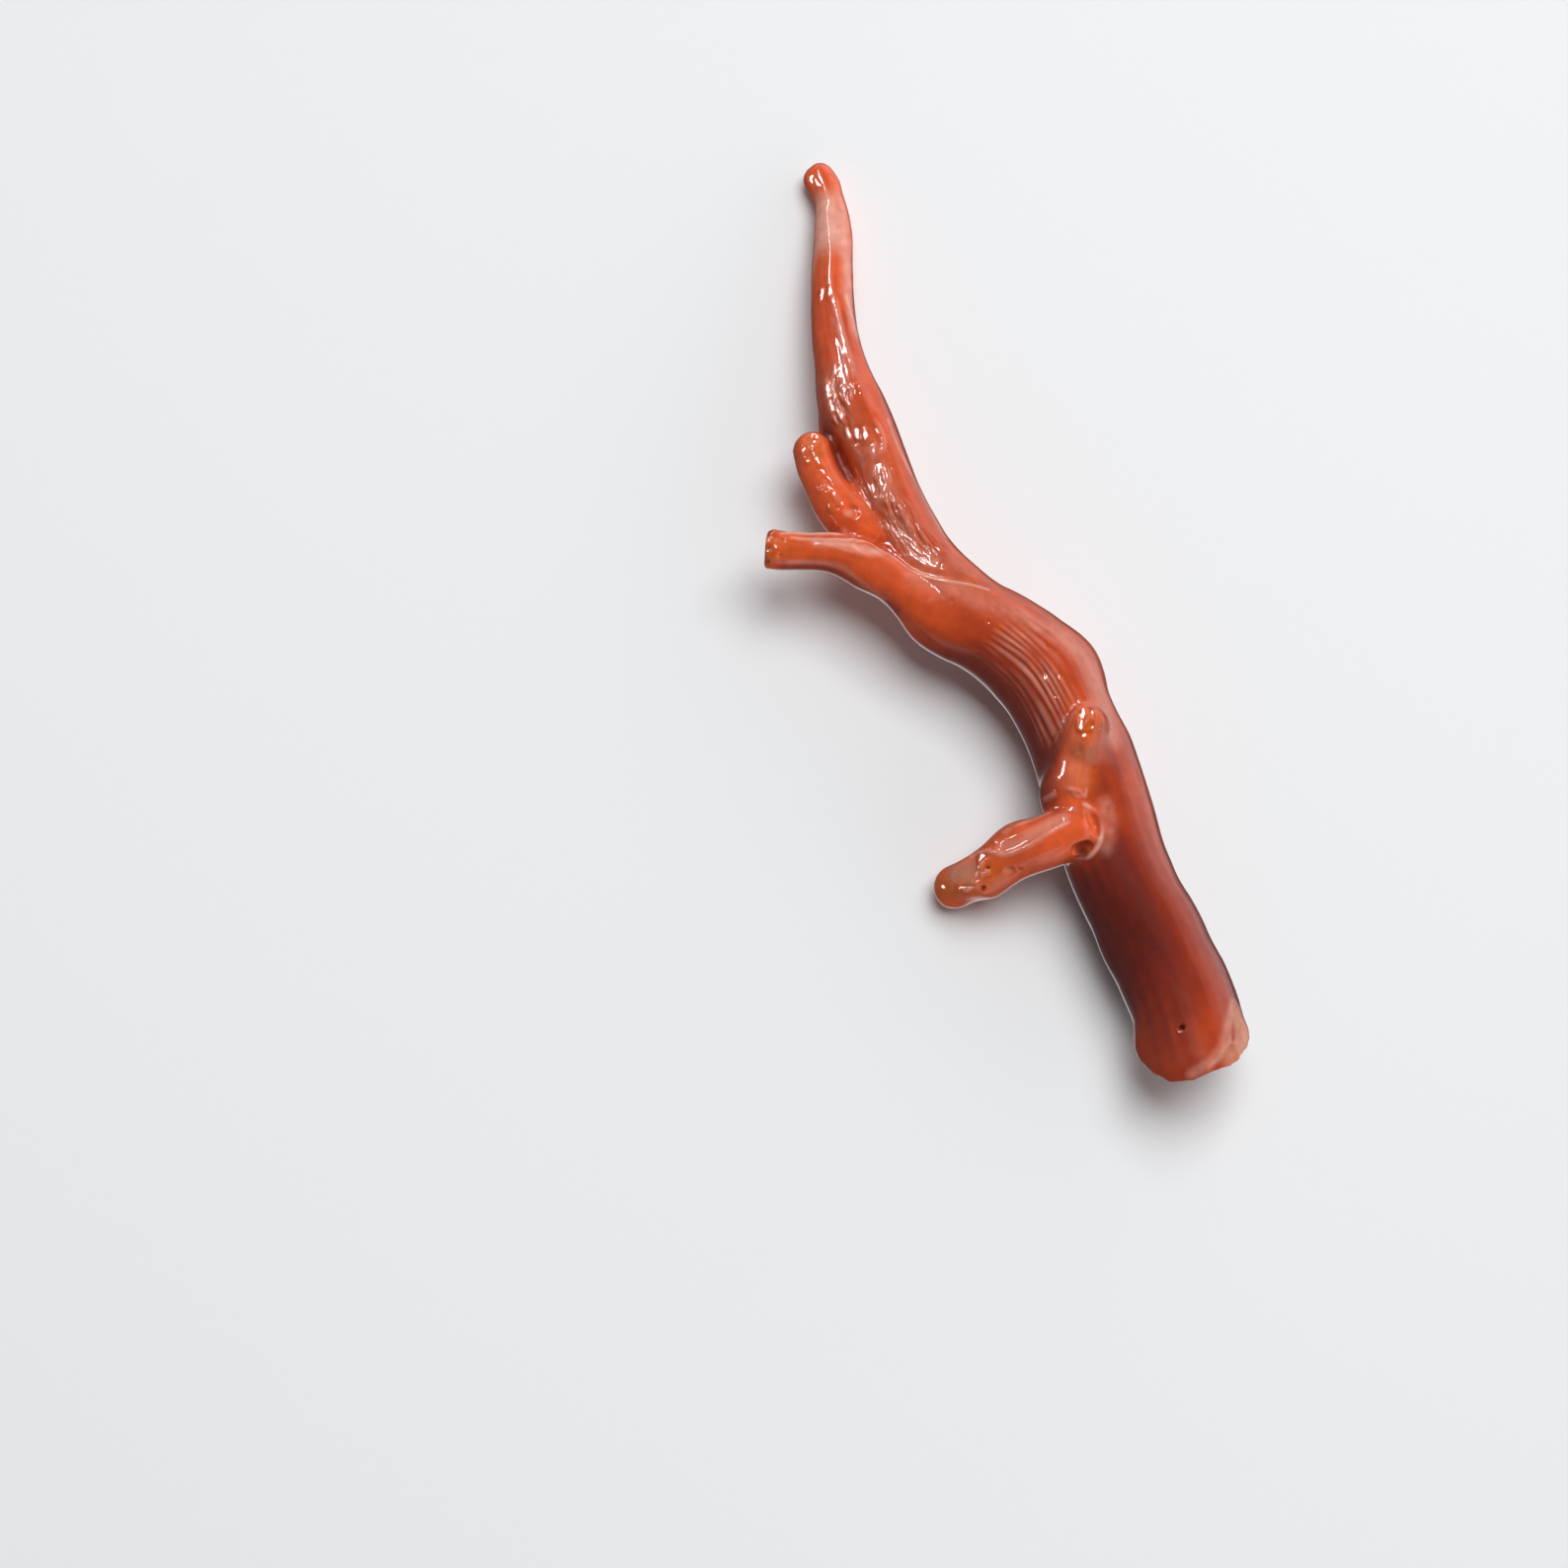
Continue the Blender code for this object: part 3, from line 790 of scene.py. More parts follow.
strokes(raise_line,
        ([(-1.2, -21.1, 5.8)], 0.22, -0.30), ([(-1.5, -22.4, 4.9)], 0.24, -0.30),
        ([(0.4, -21.45, 6.05)], 0.62, -0.18), ([(1.1, -21.3, 6.3)], 0.20, -0.14),
        ([(0.3, -21.6, 5.9)], 0.22, 0.10), ([(-4.4, -21.6, 3.0)], 0.5, 0.10))
roughen([(-0.8, -20.9, 5.9), (-1.8, -22.4, 4.7)], 1.1, 0.03, 0.40, 47)
settle()

# %% [markdown]
# ## The trunk and its sawn foot
#
# The trunk is the smoothest part. Its sawn rim was rounded over by the polishing, with a thin lip left on
# one side and a rough chip on the other. A worm's pinhole sits near the end.

# %% Shape the sawn foot
raise_line([(9.6, -32.0, 4.0), (9.9, -33.6, 5.0), (10.3, -34.8, 5.4), (10.9, -36.0, 6.1),
            (12.0, -36.8, 7.0)], 0.40, -0.09, taper=0.3)
CHIP_RIM = [(16.6, -31.2, 6.0), (16.3, -32.9, 6.9), (16.0, -34.3, 7.2), (15.3, -35.5, 7.7),
            (14.2, -36.5, 8.1)]
raise_line(CHIP_RIM, 1.7, -0.42, towards=(0.9, -0.4, 0.0), taper=0.2)
settle()
raise_line(CHIP_RIM, 0.32, 0.14, keen=True)
raise_line([(16.45, -32.4, 6.4), (16.4, -33.6, 6.8), (16.2, -34.5, 7.0)], 0.24, -0.22, keen=True)
soften(SAWN_RIM, 1.3, 40)
soften([(17.5, -35.4, 5.8), (17.2, -36.0, 6.6), (16.4, -36.8, 7.2)], 1.5, 120)
roughen([(17.1, -32.8, 5.8), (16.8, -34.2, 6.5), (16.1, -35.3, 7.2)], 1.0, 0.08, 0.50, 53)
raise_line([(12.5, -33.5, 7.7)], 0.30, -0.60)
settle()

# %% Small scars on the trunk and the shoulder
raise_line([(1.6, -1.4, 7.5), (2.5, -2.3, 7.8), (3.4, -3.3, 8.0)], 0.9, -0.08)
raise_line([(9.9, -13.3, 6.1), (10.3, -15.2, 6.2)], 0.30, -0.10)
for scar in ((15.9, -28.9, 6.1), (16.2, -30.0, 6.1), (13.5, -24.1, 6.6), (6.3, -24.4, 4.8),
             (-5.4, -0.8, 7.8), (-3.7, -1.0, 7.9), (-1.7, -4.8, 7.0), (-1.0, -2.7, 8.1), (3.3, -4.7, 8.2)):
    raise_line([scar], 0.26, -0.07)
settle()

# %% [markdown]
# ## Sparks of polish
#
# Each spark is a thin strip of a ridge, or a small round on a bump, that is turned to a window. They come
# last, so that nothing bends them afterwards.

# %% Turn the small flats
STREAK = [(-12.6, 25.7, 4.8), (-12.05, 23.0, 5.3), (-11.4, 20.2, 5.9), (-10.8, 17.4, 6.6)]
spark(STREAK, 0.24, GAP_WAY, follow=True)

# On the leader, from its ridge down to its lower pimple.
strokes(spark,
        ([(-12.65, 25.8, 4.8), (-12.6, 25.2, 4.8)], 0.32), ([(-13.3, 25.6, 4.6), (-13.3, 24.9, 4.6)], 0.28),
        ([(-10.9, 16.7, 6.7), (-10.8, 16.1, 6.8)], 0.24), ([(-10.5, 16.9, 6.6), (-10.4, 16.1, 6.8)], 0.24),
        ([(-12.3, 18.7, 6.2), (-12.2, 17.9, 6.3)], 0.26), ([(-12.9, 16.9, 6.1), (-12.7, 16.0, 6.2)], 0.32),
        ([(-12.6, 15.8, 6.2), (-12.4, 14.9, 6.1)], 0.28), ([(-12.35, 14.7, 6.1), (-12.2, 13.9, 6.0)], 0.20),
        ([(-12.3, 16.3, 6.4), (-12.3, 15.6, 6.4)], 0.20), ([(-11.9, 16.3, 6.7), (-11.85, 15.4, 6.7)], 0.22),
        ([(-11.8, 15.0, 6.6), (-11.8, 14.2, 6.4)], 0.22), ([(-11.4, 16.0, 6.7), (-11.2, 15.2, 6.7)], 0.18),
        ([(-11.4, 13.5, 6.4), (-11.2, 12.6, 6.2)], 0.24), ([(-10.6, 13.3, 6.5), (-10.6, 12.6, 6.5)], 0.36),
        ([(-10.6, 12.2, 6.5), (-10.6, 11.9, 6.4)], 0.16), ([(-10.0, 12.9, 6.8), (-10.05, 12.4, 6.6)], 0.22),
        ([(-9.3, 13.4, 6.7), (-8.9, 12.8, 6.6)], 0.13), ([(-9.0, 10.2, 6.8), (-8.95, 9.4, 6.8)], 0.30),
        ([(-8.9, 9.3, 6.8), (-8.9, 8.7, 6.8)], 0.24), ([(-8.6, 10.0, 6.8), (-8.4, 9.2, 6.8)], 0.26),
        ([(-8.1, 10.0, 6.7), (-7.9, 9.2, 6.7)], 0.20))

# On the thumb, in the hollow over the fork, on the knob, on the shoulder and on the side branch's end.
strokes(spark,
        ([(-14.4, 10.8, 6.3)], 0.36), ([(-13.7, 11.0, 6.4), (-13.5, 10.3, 6.4)], 0.26),
        ([(-13.4, 10.2, 6.4), (-13.0, 9.6, 6.4)], 0.24), ([(-12.9, 9.5, 6.4), (-12.6, 9.1, 6.5)], 0.20),
        ([(-13.6, 8.7, 6.1)], 0.26), ([(-13.2, 8.8, 6.4)], 0.24),
        ([(-8.0, 5.3, 6.7), (-7.6, 4.5, 6.7)], 0.20), ([(-7.3, 4.7, 6.8), (-6.6, 4.1, 7.1)], 0.20),
        ([(-7.6, 3.9, 6.6), (-7.1, 3.0, 6.8)], 0.22), ([(-6.7, 3.8, 7.0), (-6.1, 3.2, 7.1)], 0.20),
        ([(-6.1, 3.4, 7.0), (-5.3, 2.8, 7.3)], 0.20), ([(-8.7, 7.9, 7.0), (-8.4, 7.1, 6.9)], 0.16),
        ([(-8.1, 8.0, 7.0), (-7.8, 7.2, 7.0)], 0.16), ([(-7.7, 6.6, 7.0), (-7.3, 5.8, 7.0)], 0.16),
        ([(5.9, -9.9, 9.0), (5.7, -10.7, 9.5)], 0.34), ([(5.7, -10.8, 9.5), (5.6, -11.5, 9.4)], 0.30),
        ([(6.5, -10.0, 9.1), (6.4, -11.4, 9.5)], 0.26), ([(5.9, -12.0, 9.3)], 0.36),
        ([(3.1, -6.7, 8.2), (3.3, -7.4, 8.0)], 0.18), ([(3.6, -6.5, 8.2), (3.7, -6.8, 8.2)], 0.18),
        ([(4.2, -7.0, 8.2), (4.3, -7.3, 8.1)], 0.20), ([(3.9, -8.5, 7.9), (4.1, -8.7, 8.0)], 0.22),
        ([(3.8, -8.9, 7.9)], 0.20), ([(-17.0, 4.7, 7.3)], 0.30))

# On the twig's foot and the leader's tip.
strokes(spark,
        ([(-1.5, -20.1, 5.7), (-1.8, -20.8, 5.5)], 0.36), ([(-1.8, -20.8, 5.5), (-2.0, -21.6, 5.2)], 0.24),
        ([(-1.8, -21.9, 5.2), (-2.3, -22.2, 5.0)], 0.30), ([(-2.3, -22.2, 5.0), (-3.2, -22.3, 4.0)], 0.24),
        ([(-4.4, -21.8, 3.0)], 0.42), ([(-13.9, 36.6, 2.1), (-13.7, 36.2, 2.2)], 0.32),
        ([(-13.7, 36.2, 2.2), (-13.4, 35.5, 2.5)], 0.24), window=LOW_WINDOW_WAY)
settle()

# %% [markdown]
# ## At rest
#
# A brush may have pushed a place a hair below the floor. The underside lies flat on it, so whatever is
# lower is lifted to the floor's level.

# %% Rest it on the floor
print("lowest place before, mm:", place[:, 2].min().round(3))
place[:, 2] = np.clip(place[:, 2], 0, None)
settle()

# %% [markdown]
# ## The colours
#
# Precious coral is calcite coloured by carotene. Thin limbs look orange and the thick trunk a deep brick
# red, so one layer says how deep the colour is; the same layer also carries painted shade on flanks and
# undersides turned from the light, and is lighter on the trunk's lit flank. Where the branch was worked or
# nipped the colour is amber. Worn and frosted skin is pale, and the pale layer also carries painted
# highlights, sheen and reflections on ridges, edges and the sawn rim. Raw skin is brown. The dark layer is
# painted shade in pits, hollows and the crotch. A last layer says where the polish is missing. Each layer is
# one number for each vertex, put on with the same brush as the shapes, so that colour and shape stay
# together. Painted highlights lie on the tops of the fine ridges, and painted shade between them.

# %% Paint the layers
layers = {name: np.zeros(len(place)) for name in ("depth", "amber", "pale", "brown", "dark", "matt")}


def cover(layer, amount):
    """Lay an amount of a layer over what is there."""
    layers[layer] = 1 - (1 - layers[layer]) * (1 - np.clip(amount, 0, 1))


def paint(path, width, strength, ragged=0.0, *, layer, taper=0, **shape):
    """Lay a layer on along a path. A ragged touch is broken up by noise."""
    amount = strength * touch(path, width, taper=taper, **shape)
    if ragged:
        here = amount > 0.01
        amount[here] *= np.clip(1 + ragged * cloud(place[here] / 0.5, 61), 0, 1.6)
    cover(layer, amount)


# %% How deep the colour is, with painted shade and light on its flanks
# The depth at places along the branch, in millimetres towards its tip.
DEPTH_DOWN_THE_BRANCH = ((-37, 0.62), (-31, 0.82), (-26, 1.0), (-20, 0.86), (-12, 0.56), (-5, 0.45),
                         (0, 0.30), (6, 0.34), (20, 0.28), (30, 0.15), (36, 0.05))
down = np.interp(place[:, 1], *zip(*DEPTH_DOWN_THE_BRANCH))
streaks = 0.09 * with_grain(5.0, 0.5, seed=71) + 0.06 * with_grain(9.0, 2.0, seed=73)
layers["depth"] = np.clip(down + streaks * (1 - sawn), 0, 1)
knob_and_bend = touch([(6.0, -9.4, 8.8), (5.6, -11.5, 8.6), (5.2, -14.0, 8.0), (5.0, -16.6, 7.6)], 2.2,
                      taper=0)
twig_foot = touch([(6.0, -18.2, 7.6), (3.0, -19.4, 7.6), (0.4, -20.4, 6.0), (-2.0, -21.4, 4.4),
                   (-4.0, -21.8, 2.0)], 3.4, taper=0)
layers["depth"] *= 1 - 0.95 * np.maximum(knob_and_bend, np.maximum(twig_foot, share["twig foot"]))
layers["depth"] *= 1 - np.maximum(0.45 * share["side branch"], 0.85 * share["thumb stub"])
# Painted light: lighter on the trunk's lit right flank. Also a little lighter left of the sawn foot.
lit_side = touch([(9.6, -15.5, 7.0), (12.2, -23.5, 6.9), (14.8, -31.0, 6.8), (14.6, -35.0, 7.6)], 3.2,
                 taper=0)
left_of_foot = touch([(10.2, -33.5, 5.4), (11.2, -35.8, 6.6)], 2.8, taper=0)
layers["depth"] *= (1 - 0.34 * lit_side) * (1 - 0.2 * left_of_foot)
# Painted shade, deepening the colour: in the crevice between the thumb and the leader, on the trunk's left
# flank below the twig, on the lower left flank of the mid-stem and shoulder, on the leader's right flank, and
# along the side branch's lower edge.
strokes(paint,
        ([(-13.0, 13.8, 4.8), (-12.4, 11.8, 4.9), (-11.7, 9.8, 5.2)], 1.2, 0.85),
        ([(7.9, -24.5, 5.2), (9.0, -28.5, 5.4)], 3.2, 0.85),
        ([(-4.6, -3.4, 4.6), (-1.5, -5.4, 5.4), (1.4, -8.8, 5.8), (2.6, -12.2, 5.8)], 3.0, 0.62),
        ([(-10.4, 25.0, 3.4), (-9.4, 20.0, 4.4), (-7.7, 14.5, 5.0), (-5.6, 9.5, 5.4),
          (-3.0, 4.6, 6.0)], 1.6, 0.42),
        ([(-16.0, 2.2, 6.2), (-12.6, 2.0, 6.4), (-10.0, 0.6, 6.0), (-7.6, -1.0, 6.2)], 1.1, 0.5),
        layer="depth")

# %% Amber, and pale with painted highlights and sheen
strokes(paint,
        ([(6.2, -9.9, 9.2), (6.1, -12.4, 9.0), (5.8, -14.8, 8.2)], 1.9, 0.45),
        ([(-0.8, -21.2, 6.0), (-2.4, -21.9, 4.8), (-4.6, -21.9, 2.8)], 1.6, 0.55),
        ([(-4.6, -21.9, 2.6), (-3.6, -22.4, 3.2)], 1.0, 0.7),
        ([(-17.8, 3.7, 7.0), (-16.2, 3.7, 7.6)], 2.3, 0.95),
        ([(-14.2, 12.6, 6.0), (-13.9, 11.4, 6.3)], 1.4, 0.5),
        ([(-12.7, 6.9, 6.3)], 0.7, 0.7), layer="amber")

# The leader: its frosted band below the tip, partly its own colour and partly painted sheen, a painted sheen
# down its right flank, a painted reflection along its left edge, and thin painted highlights along its right
# edge.
strokes(paint,
        ([(-13.0, 33.0, 3.0), (-12.7, 31.0, 3.5)], 3.0, 0.96, 0.12),
        ([(-11.4, 30.2, 3.8), (-11.2, 28.4, 3.9), (-10.9, 25.1, 4.5), (-10.4, 22.0, 5.0)], 1.0, 0.55, 0.3),
        ([(-13.6, 30.2, 3.2), (-14.0, 27.6, 3.4), (-14.1, 25.4, 3.2)], 0.6, 0.50, 0.2),
        ([(-11.4, 25.1, 4.5), (-11.0, 23.6, 4.6), (-10.4, 21.6, 4.6), (-9.6, 18.6, 5.0),
          (-8.8, 16.4, 5.2)], 0.30, 0.6),
        ([(-8.3, 14.2, 5.9), (-7.8, 12.6, 6.0), (-6.9, 10.6, 5.9), (-6.0, 8.9, 5.6),
          (-4.9, 6.5, 5.9), (-4.0, 4.5, 6.1)], 0.30, 0.55), layer="pale")

# The shoulder, the side branch and the crease: painted sheen along the shoulder's crest and right flank and
# on the almond facet, painted highlights along the twig's top edge, the side branch's ridges and the crease,
# and a pale patch on the flat at the thumb's foot.
strokes(paint,
        ([(-6.5, 1.2, 7.4), (-3.9, 0.1, 7.9), (-1.7, -0.9, 8.0), (1.2, -2.1, 7.9),
          (4.1, -3.5, 7.6)], 1.3, 0.26, 0.2),
        ([(5.0, -4.2, 7.2), (6.5, -5.9, 6.9), (7.2, -8.2, 7.0), (8.0, -11.4, 7.2)], 1.5, 0.32, 0.2),
        ([(3.2, -17.3, 7.4), (1.8, -17.9, 7.0), (0.2, -18.5, 6.4)], 0.45, 0.55),
        (SLIVER, 0.32, 0.85), (EDGE, 0.28, 0.7),
        ([(-13.6, 3.8, 7.5), (-11.9, 3.6, 7.6), (-10.2, 3.2, 7.6), (-9.2, 3.0, 7.4)], 0.75, 0.60, 0.2),
        ([(-15.8, 2.3, 7.0), (-13.0, 2.2, 7.1), (-11.7, 1.8, 7.2), (-10.2, 0.6, 6.8),
          (-8.7, -0.4, 6.6)], 0.4, 0.25),
        (CREASE[2:], 0.26, 0.75), ([(-11.3, 6.5, 6.4)], 0.55, 0.5), layer="pale")

# The twig, and the trunk's sawn foot: painted light on the shaded knob, painted sheen along the top of the
# twig's foot, painted highlights on its belt ridge and on the bend's lip, the pale scar plate and dimple, a
# pale edge at the pinhole, a painted reflection along the sawn rim, and a paler band on the thin lip left of
# the foot, painted light shining through it.
strokes(paint,
        ([(5.4, -13.0, 8.7), (5.0, -15.0, 8.2)], 1.7, 0.16),
        (OVER_BELT, 0.8, 0.42, 0.2), (BELT, 0.28, 0.6),
        ([(7.4, -16.7, 7.6), (7.7, -18.4, 7.4), (7.5, -20.2, 7.2)], 0.9, 0.30, 0.5),
        (LIP, 0.28, 0.85), ([(0.4, -21.5, 6.0)], 0.40, 0.55),
        ([(12.5, -33.75, 7.6)], 0.16, 0.9),
        ([(16.5, -31.4, 6.2), (15.9, -33.2, 7.2), (15.4, -34.8, 7.6), (14.4, -36.2, 8.1),
          (13.0, -37.0, 7.9)], 0.65, 0.38),
        ([(9.2, -33.4, 3.0), (9.6, -35.2, 4.2), (10.8, -36.6, 5.4), (12.6, -37.2, 7.0)], 0.6, 0.30),
        layer="pale")

# %% Brown, matt, and dark as painted shade
strokes(paint,
        ([(-12.6, 17.6, 6.1), (-11.8, 14.0, 6.4), (-9.6, 11.4, 6.8), (-8.6, 8.6, 6.9)], 2.0, 0.28, 0.3),
        ([(-8.9, 7.6, 6.8), (-7.2, 4.6, 7.0), (-5.2, 2.4, 7.4), (-2.0, 0.8, 7.8)], 1.8, 0.26, 0.3),
        ([(-0.4, -19.3, 6.1), (0.4, -19.1, 6.6)], 0.5, 0.4),
        ([(16.9, -32.2, 6.2), (17.2, -33.4, 6.1), (16.9, -34.6, 6.8), (16.1, -35.6, 7.5)], 1.5,
         0.85, 0.15), layer="brown")
# Raw skin is brown and matt: the ends of the side branch and the twig, the chip, and the sawn face.
for layer, strength in (("brown", 0.7), ("matt", 0.8)):
    paint([(-17.9, 3.7, 6.4)], 1.4, strength, 0.5, layer=layer)
    paint([(-3.5, -20.9, 3.9), (-2.6, -21.0, 4.6)], 1.5, strength + 0.2, layer=layer)
    paint([(17.3, -32.4, 5.6), (17.0, -34.2, 6.2), (16.3, -35.6, 6.8)], 1.5, strength + 0.2, 0.3,
          layer=layer, towards=(0.9, -0.4, 0.0))
    cover(layer, 0.4 * sawn)
strokes(paint,
        ([(-13.1, 33.2, 2.9), (-12.7, 31.0, 3.5), (-12.6, 28.4, 4.0)], 2.3, 1.0),
        ([(-12.2, 11.8, 4.8), (-11.6, 9.4, 5.0)], 0.9, 0.9),
        ([(-12.5, 22.6, 5.1), (-12.1, 20.9, 5.6), (-12.1, 19.8, 5.8)], 0.5, 0.9),
        (OVER_BELT, 1.1, 0.75),
        ([(-6.8, 1.4, 7.5), (-5.4, 0.6, 7.8), (-4.0, -0.2, 8.0)], 0.9, 0.9),
        ([(4.3, -13.8, 7.6), (3.9, -15.2, 7.4)], 0.9, 0.7), ([(5.7, -20.1, 6.9)], 0.9, 0.9), layer="matt")
# Painted shade in the pits, in the hollow under the lip, in the pinhole, and in the crotch behind the thumb.
strokes(paint,
        ([(6.4, -9.7, 8.9)], 0.40, 0.8), ([(5.7, -20.1, 7.0)], 0.8, 0.8),
        ([(12.5, -33.4, 7.4)], 0.30, 0.8), ([(-1.2, -21.1, 5.6)], 0.24, 0.8),
        ([(-1.5, -22.4, 4.7)], 0.26, 0.8), ([(-17.3, 3.3, 7.3)], 0.26, 0.8),
        ([(-17.5, 2.4, 6.8)], 0.24, 0.8), ([(-11.9, 9.5, 4.9)], 0.8, 0.8), layer="dark")

# Painted highlights on what stands out by so many millimetres, and painted shade in what lies as deep.
for layer, strength, where, reach in (("pale", 0.38, 1.0, 0.12), ("dark", 0.20, 1.0, -0.12),
                                      ("pale", 0.45, shoulder, 0.06), ("dark", 0.30, shoulder, -0.09)):
    cover(layer, strength * where * np.clip(relief / reach, 0, 1))
for name, values in layers.items():
    print(f"{name}: {int((values > 0.3).sum())} vertices")

# %% [markdown]
# ## Polished coral
#
# Ground and polished coral is glossy and a little translucent: light sinks in a fraction of a millimetre
# and comes back redder, and the surface mirrors the room. A clear coat gives the sharp sparks of the
# polish, and a rougher layer under it the soft sheen on the flanks. Where the skin is matt, the coat is
# thin.

# %% A colour from its hex value, and a node with its settings
def colour(hex_value):
    """An sRGB hex value as the linear colour that shaders use."""
    parts = [int(hex_value[i:i + 2], 16) / 255 for i in (0, 2, 4)]
    return tuple(c / 12.92 if c <= 0.04045 else ((c + 0.055) / 1.055) ** 2.4 for c in parts) + (1.0,)


def add_node(tree, kind, settings=None, **inputs):
    """Add a node. An input is a value, or another node's output socket to link to it. It goes by its
    name, with _ for a space, or by its number, as in6."""
    node = tree.nodes.new(kind)
    for name, value in (settings or {}).items():
        setattr(node, name, value)
    for name, value in inputs.items():
        number = int(name[2:]) if name.startswith("in") and name[2:].isdigit() else name.replace("_", " ")
        socket = node.inputs[number]
        if isinstance(value, bpy.types.NodeSocket):
            tree.links.new(value, socket)
        else:
            socket.default_value = value
    return node


# %% The coral's material
MOTTLE = 0.9              # millimetres across a cloud of the colour
SPECK = 0.22              # millimetres across a speck in the amber
TOOTH = 0.10              # millimetres across a grain of the raw skin
TONES = ((0.0, "EA6230"), (0.3, "C84B1E"), (0.6, "A0361A"), (0.85, "7E2719"), (1.0, "6A1E12"))
# The pale paint gives worn and frosted skin and also painted highlights, sheen and reflections; the dark
# paint is painted shade.
PAINTS = (("amber", "CE641C"), ("pale", "EBAA96"), ("brown", "CA866A"), ("dark", "2A0E08"))
SPECK_TONE = "DFA24A"
POLISH = {"IOR": 1.5, "Specular IOR Level": 0.22, "Coat Roughness": 0.04, "Subsurface Weight": 0.35,
          "Subsurface Radius": (1.0, 0.28, 0.14), "Subsurface Scale": 0.7 * MM}


def polished_coral():
    """The painted layers give the colour and the roughness, and a clear coat lies over them."""
    material = bpy.data.materials.new("polished red coral")
    material.use_nodes = True
    tree = material.node_tree
    shader = tree.nodes["Principled BSDF"]
    where = add_node(tree, "ShaderNodeTexCoord").outputs["Object"]
    layer = {name: add_node(tree, "ShaderNodeAttribute", {"attribute_name": name}).outputs["Fac"]
             for name in layers}

    tone = add_node(tree, "ShaderNodeValToRGB", Fac=layer["depth"])
    ramp = tone.color_ramp
    ramp.elements[0].color = colour(TONES[0][1])
    ramp.elements[1].color = colour(TONES[-1][1])
    for position, hex_value in TONES[1:-1]:
        ramp.elements.new(position).color = colour(hex_value)
    shown = tone.outputs["Color"]
    for name, hex_value in PAINTS:
        shown = add_node(tree, "ShaderNodeMix", {"data_type": "RGBA"}, in0=layer[name], in6=shown,
                         in7=colour(hex_value)).outputs[2]

    clouds = add_node(tree, "ShaderNodeTexNoise", Vector=where, Scale=1 / (MOTTLE * MM), Detail=5.0)
    shade = add_node(tree, "ShaderNodeMapRange", Value=clouds.outputs["Fac"], From_Min=0.3, From_Max=0.7,
                     To_Min=0.88, To_Max=1.10)
    mottled = add_node(tree, "ShaderNodeMix", {"data_type": "RGBA", "blend_type": "MULTIPLY"}, in0=1.0,
                       in6=shown, in7=shade.outputs["Result"])
    grit = add_node(tree, "ShaderNodeTexNoise", Vector=where, Scale=1 / (SPECK * MM), Detail=2.0)
    specks = add_node(tree, "ShaderNodeMapRange", Value=grit.outputs["Fac"], From_Min=0.64, From_Max=0.74)
    in_amber = add_node(tree, "ShaderNodeMath", {"operation": "MULTIPLY"}, in0=specks.outputs["Result"],
                        in1=layer["amber"])
    specked = add_node(tree, "ShaderNodeMix", {"data_type": "RGBA"}, in0=in_amber.outputs[0],
                       in6=mottled.outputs[2], in7=colour(SPECK_TONE))
    tree.links.new(specked.outputs[2], shader.inputs["Base Color"])

    rough = add_node(tree, "ShaderNodeMapRange", Value=layer["matt"], To_Min=0.30, To_Max=0.55)
    tree.links.new(rough.outputs["Result"], shader.inputs["Roughness"])
    coat = add_node(tree, "ShaderNodeMapRange", Value=layer["matt"], To_Min=0.9, To_Max=0.35)
    tree.links.new(coat.outputs["Result"], shader.inputs["Coat Weight"])
    tooth = add_node(tree, "ShaderNodeTexNoise", Vector=where, Scale=1 / (TOOTH * MM), Detail=3.0)
    height = add_node(tree, "ShaderNodeMath", {"operation": "MULTIPLY"}, in0=tooth.outputs["Fac"],
                      in1=layer["matt"])
    bump = add_node(tree, "ShaderNodeBump", Height=height.outputs[0], Distance=0.05 * MM)
    tree.links.new(bump.outputs["Normal"], shader.inputs["Normal"])

    for name, value in POLISH.items():
        shader.inputs[name].default_value = value
    return material


# Each layer is kept on the skin as one number for each vertex, under the name that the material reads.
for name, values in layers.items():
    kept = skin.data.attributes.new(name, "FLOAT", "POINT")
    kept.data.foreach_set("value", values.astype(np.float32))
skin.data.materials.clear()
skin.data.materials.append(polished_coral())

# %% [markdown]
# ## The stage
#
# A plain white floor and soft daylight. The room is bright low down and to the right, and dark overhead and
# to the left, so the branch's right side catches a pale sheen and its back stays deep red. Light that comes
# up from the floor draws a thin pale line round each limb. A large soft light, which the polish doesn't
# mirror, lights everything; the windows do the opposite, and only put sparks on the ridges.

# %% The floor
FLOOR_SIZE = 1600         # millimetres


def lay_floor():
    """A plain white floor, which lights the branch from below but isn't mirrored in it."""
    deselect_all()
    bpy.ops.mesh.primitive_plane_add(size=FLOOR_SIZE * MM, location=(0, 0, 0))
    floor = bpy.context.object
    floor.name = "floor"
    material = bpy.data.materials.new("matt white card")
    material.use_nodes = True
    shader = material.node_tree.nodes["Principled BSDF"]
    shader.inputs["Base Color"].default_value = colour("F2F4F5")
    shader.inputs["Roughness"].default_value = 0.9
    floor.data.materials.append(material)
    floor.visible_glossy = False


lay_floor()

# %% The room's light
# Each light: the way to it, its width and height in millimetres, and its power in watts.
WINDOWS = ((WINDOW_WAY, (100, 140), 1.4), (LOW_WINDOW_WAY, (100, 120), 0.9), (GAP_WAY, (35, 180), 1.5))
SOFT_LIGHT = ((0.22, 0.25, 0.94), (600, 600), 6.0)
SOFT_LIGHT_FAR = 800      # millimetres
BRIGHT = (0.92, 0.93, 0.95, 1)            # the room's light, from the horizon on the right
DIM = (0.09, 0.09, 0.095, 1)              # from overhead and from the left
GLOW = (0.75, 0.75, 0.77, 1)              # and from straight below


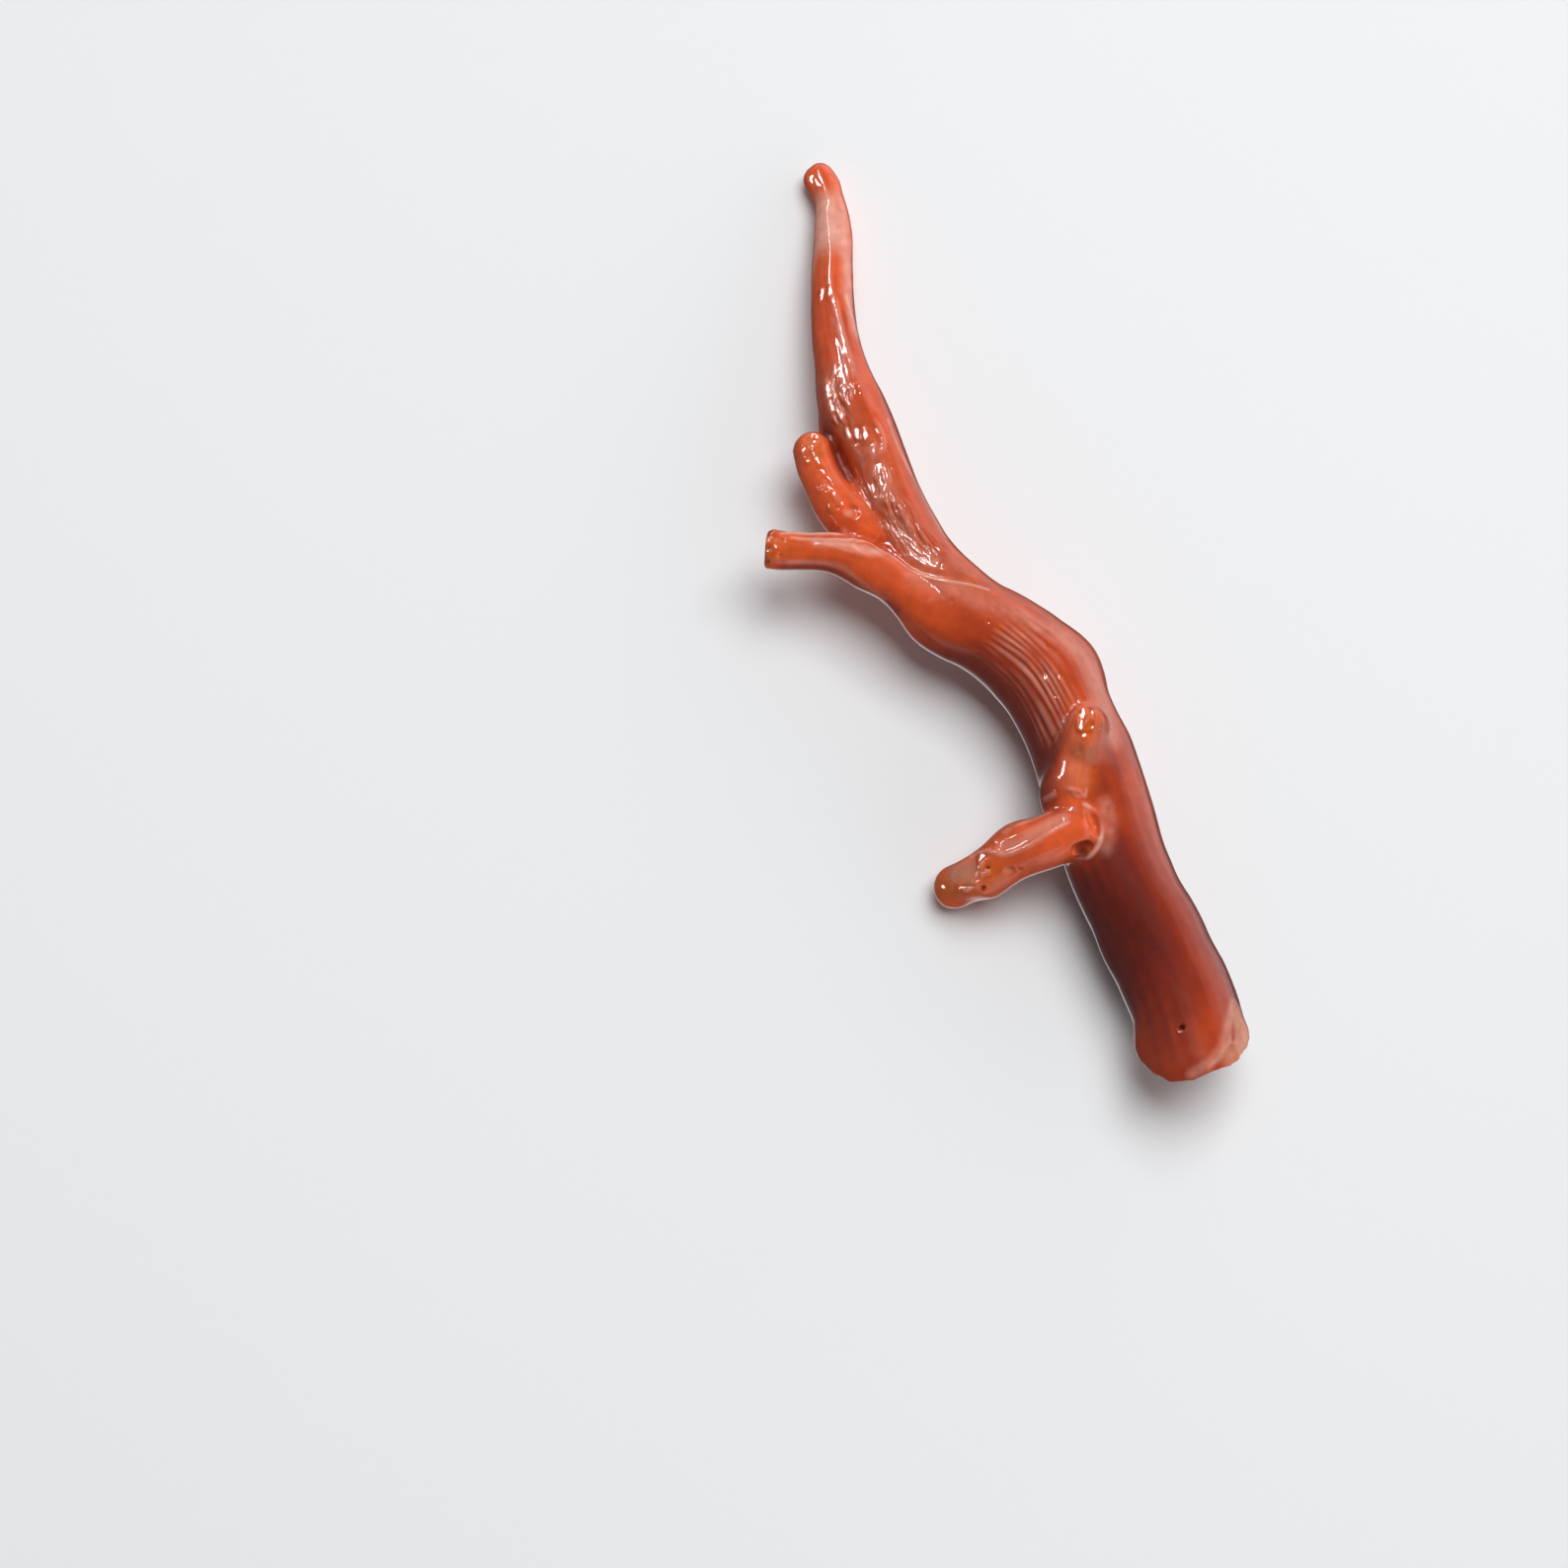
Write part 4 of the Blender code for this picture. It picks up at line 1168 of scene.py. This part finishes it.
def light_room():
    """Bright near the floor and to the right, dark overhead and to the left, and a pale glow from below."""
    world = bpy.data.worlds.new("daylit room")
    bpy.context.scene.world = world
    world.use_nodes = True
    tree = world.node_tree
    tree.nodes.clear()
    look = add_node(tree, "ShaderNodeTexCoord").outputs["Generated"]
    axis = add_node(tree, "ShaderNodeSeparateXYZ", Vector=look)
    level = add_node(tree, "ShaderNodeMath", {"operation": "ABSOLUTE"}, in0=axis.outputs["Z"])
    height = add_node(tree, "ShaderNodeMath", {"operation": "MULTIPLY_ADD"}, in0=axis.outputs["X"], in1=-0.42,
                      in2=level.outputs[0])
    rise = add_node(tree, "ShaderNodeValToRGB", Fac=height.outputs[0])
    ramp = rise.color_ramp
    ramp.interpolation = "EASE"
    ramp.elements[0].color = BRIGHT
    ramp.elements[1].position = 0.50
    ramp.elements[1].color = DIM
    below = add_node(tree, "ShaderNodeMapRange", Value=axis.outputs["Z"], From_Min=-0.90, From_Max=-0.985)
    lit = add_node(tree, "ShaderNodeMix", {"data_type": "RGBA"}, in0=below.outputs["Result"],
                   in6=rise.outputs["Color"], in7=GLOW)
    back = add_node(tree, "ShaderNodeBackground", Color=lit.outputs[2], Strength=1.0)
    out = add_node(tree, "ShaderNodeOutputWorld")
    tree.links.new(back.outputs[0], out.inputs["Surface"])


def add_light(name, distance, direction, size, watts, only_mirrored):
    """A flat light that faces the branch. It is either seen only in the polish, or not seen in it at all."""
    direction = Vector(direction).normalized()
    bpy.ops.object.light_add(type="AREA", location=direction * distance * MM)
    light = bpy.context.object
    light.name = name
    light.rotation_euler = direction.to_track_quat("Z", "Y").to_euler()
    light.data.shape = "RECTANGLE"
    light.data.size, light.data.size_y = size[0] * MM, size[1] * MM
    light.data.energy = watts
    light.visible_diffuse = not only_mirrored
    light.visible_glossy = only_mirrored


light_room()
for number, window in enumerate(WINDOWS, start=1):
    add_light(f"window {number}", WINDOW_FAR, *window, only_mirrored=True)
add_light("soft light", SOFT_LIGHT_FAR, *SOFT_LIGHT, only_mirrored=False)
bpy.context.scene.view_settings.view_transform = "Standard"

# %% [markdown]
# ## Handing it over
#
# The skin stands for all the CAD model's solids at once, and moves with the one body that holds them.

# %% Hand it over to the frame
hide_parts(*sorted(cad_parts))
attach(skin, "root")
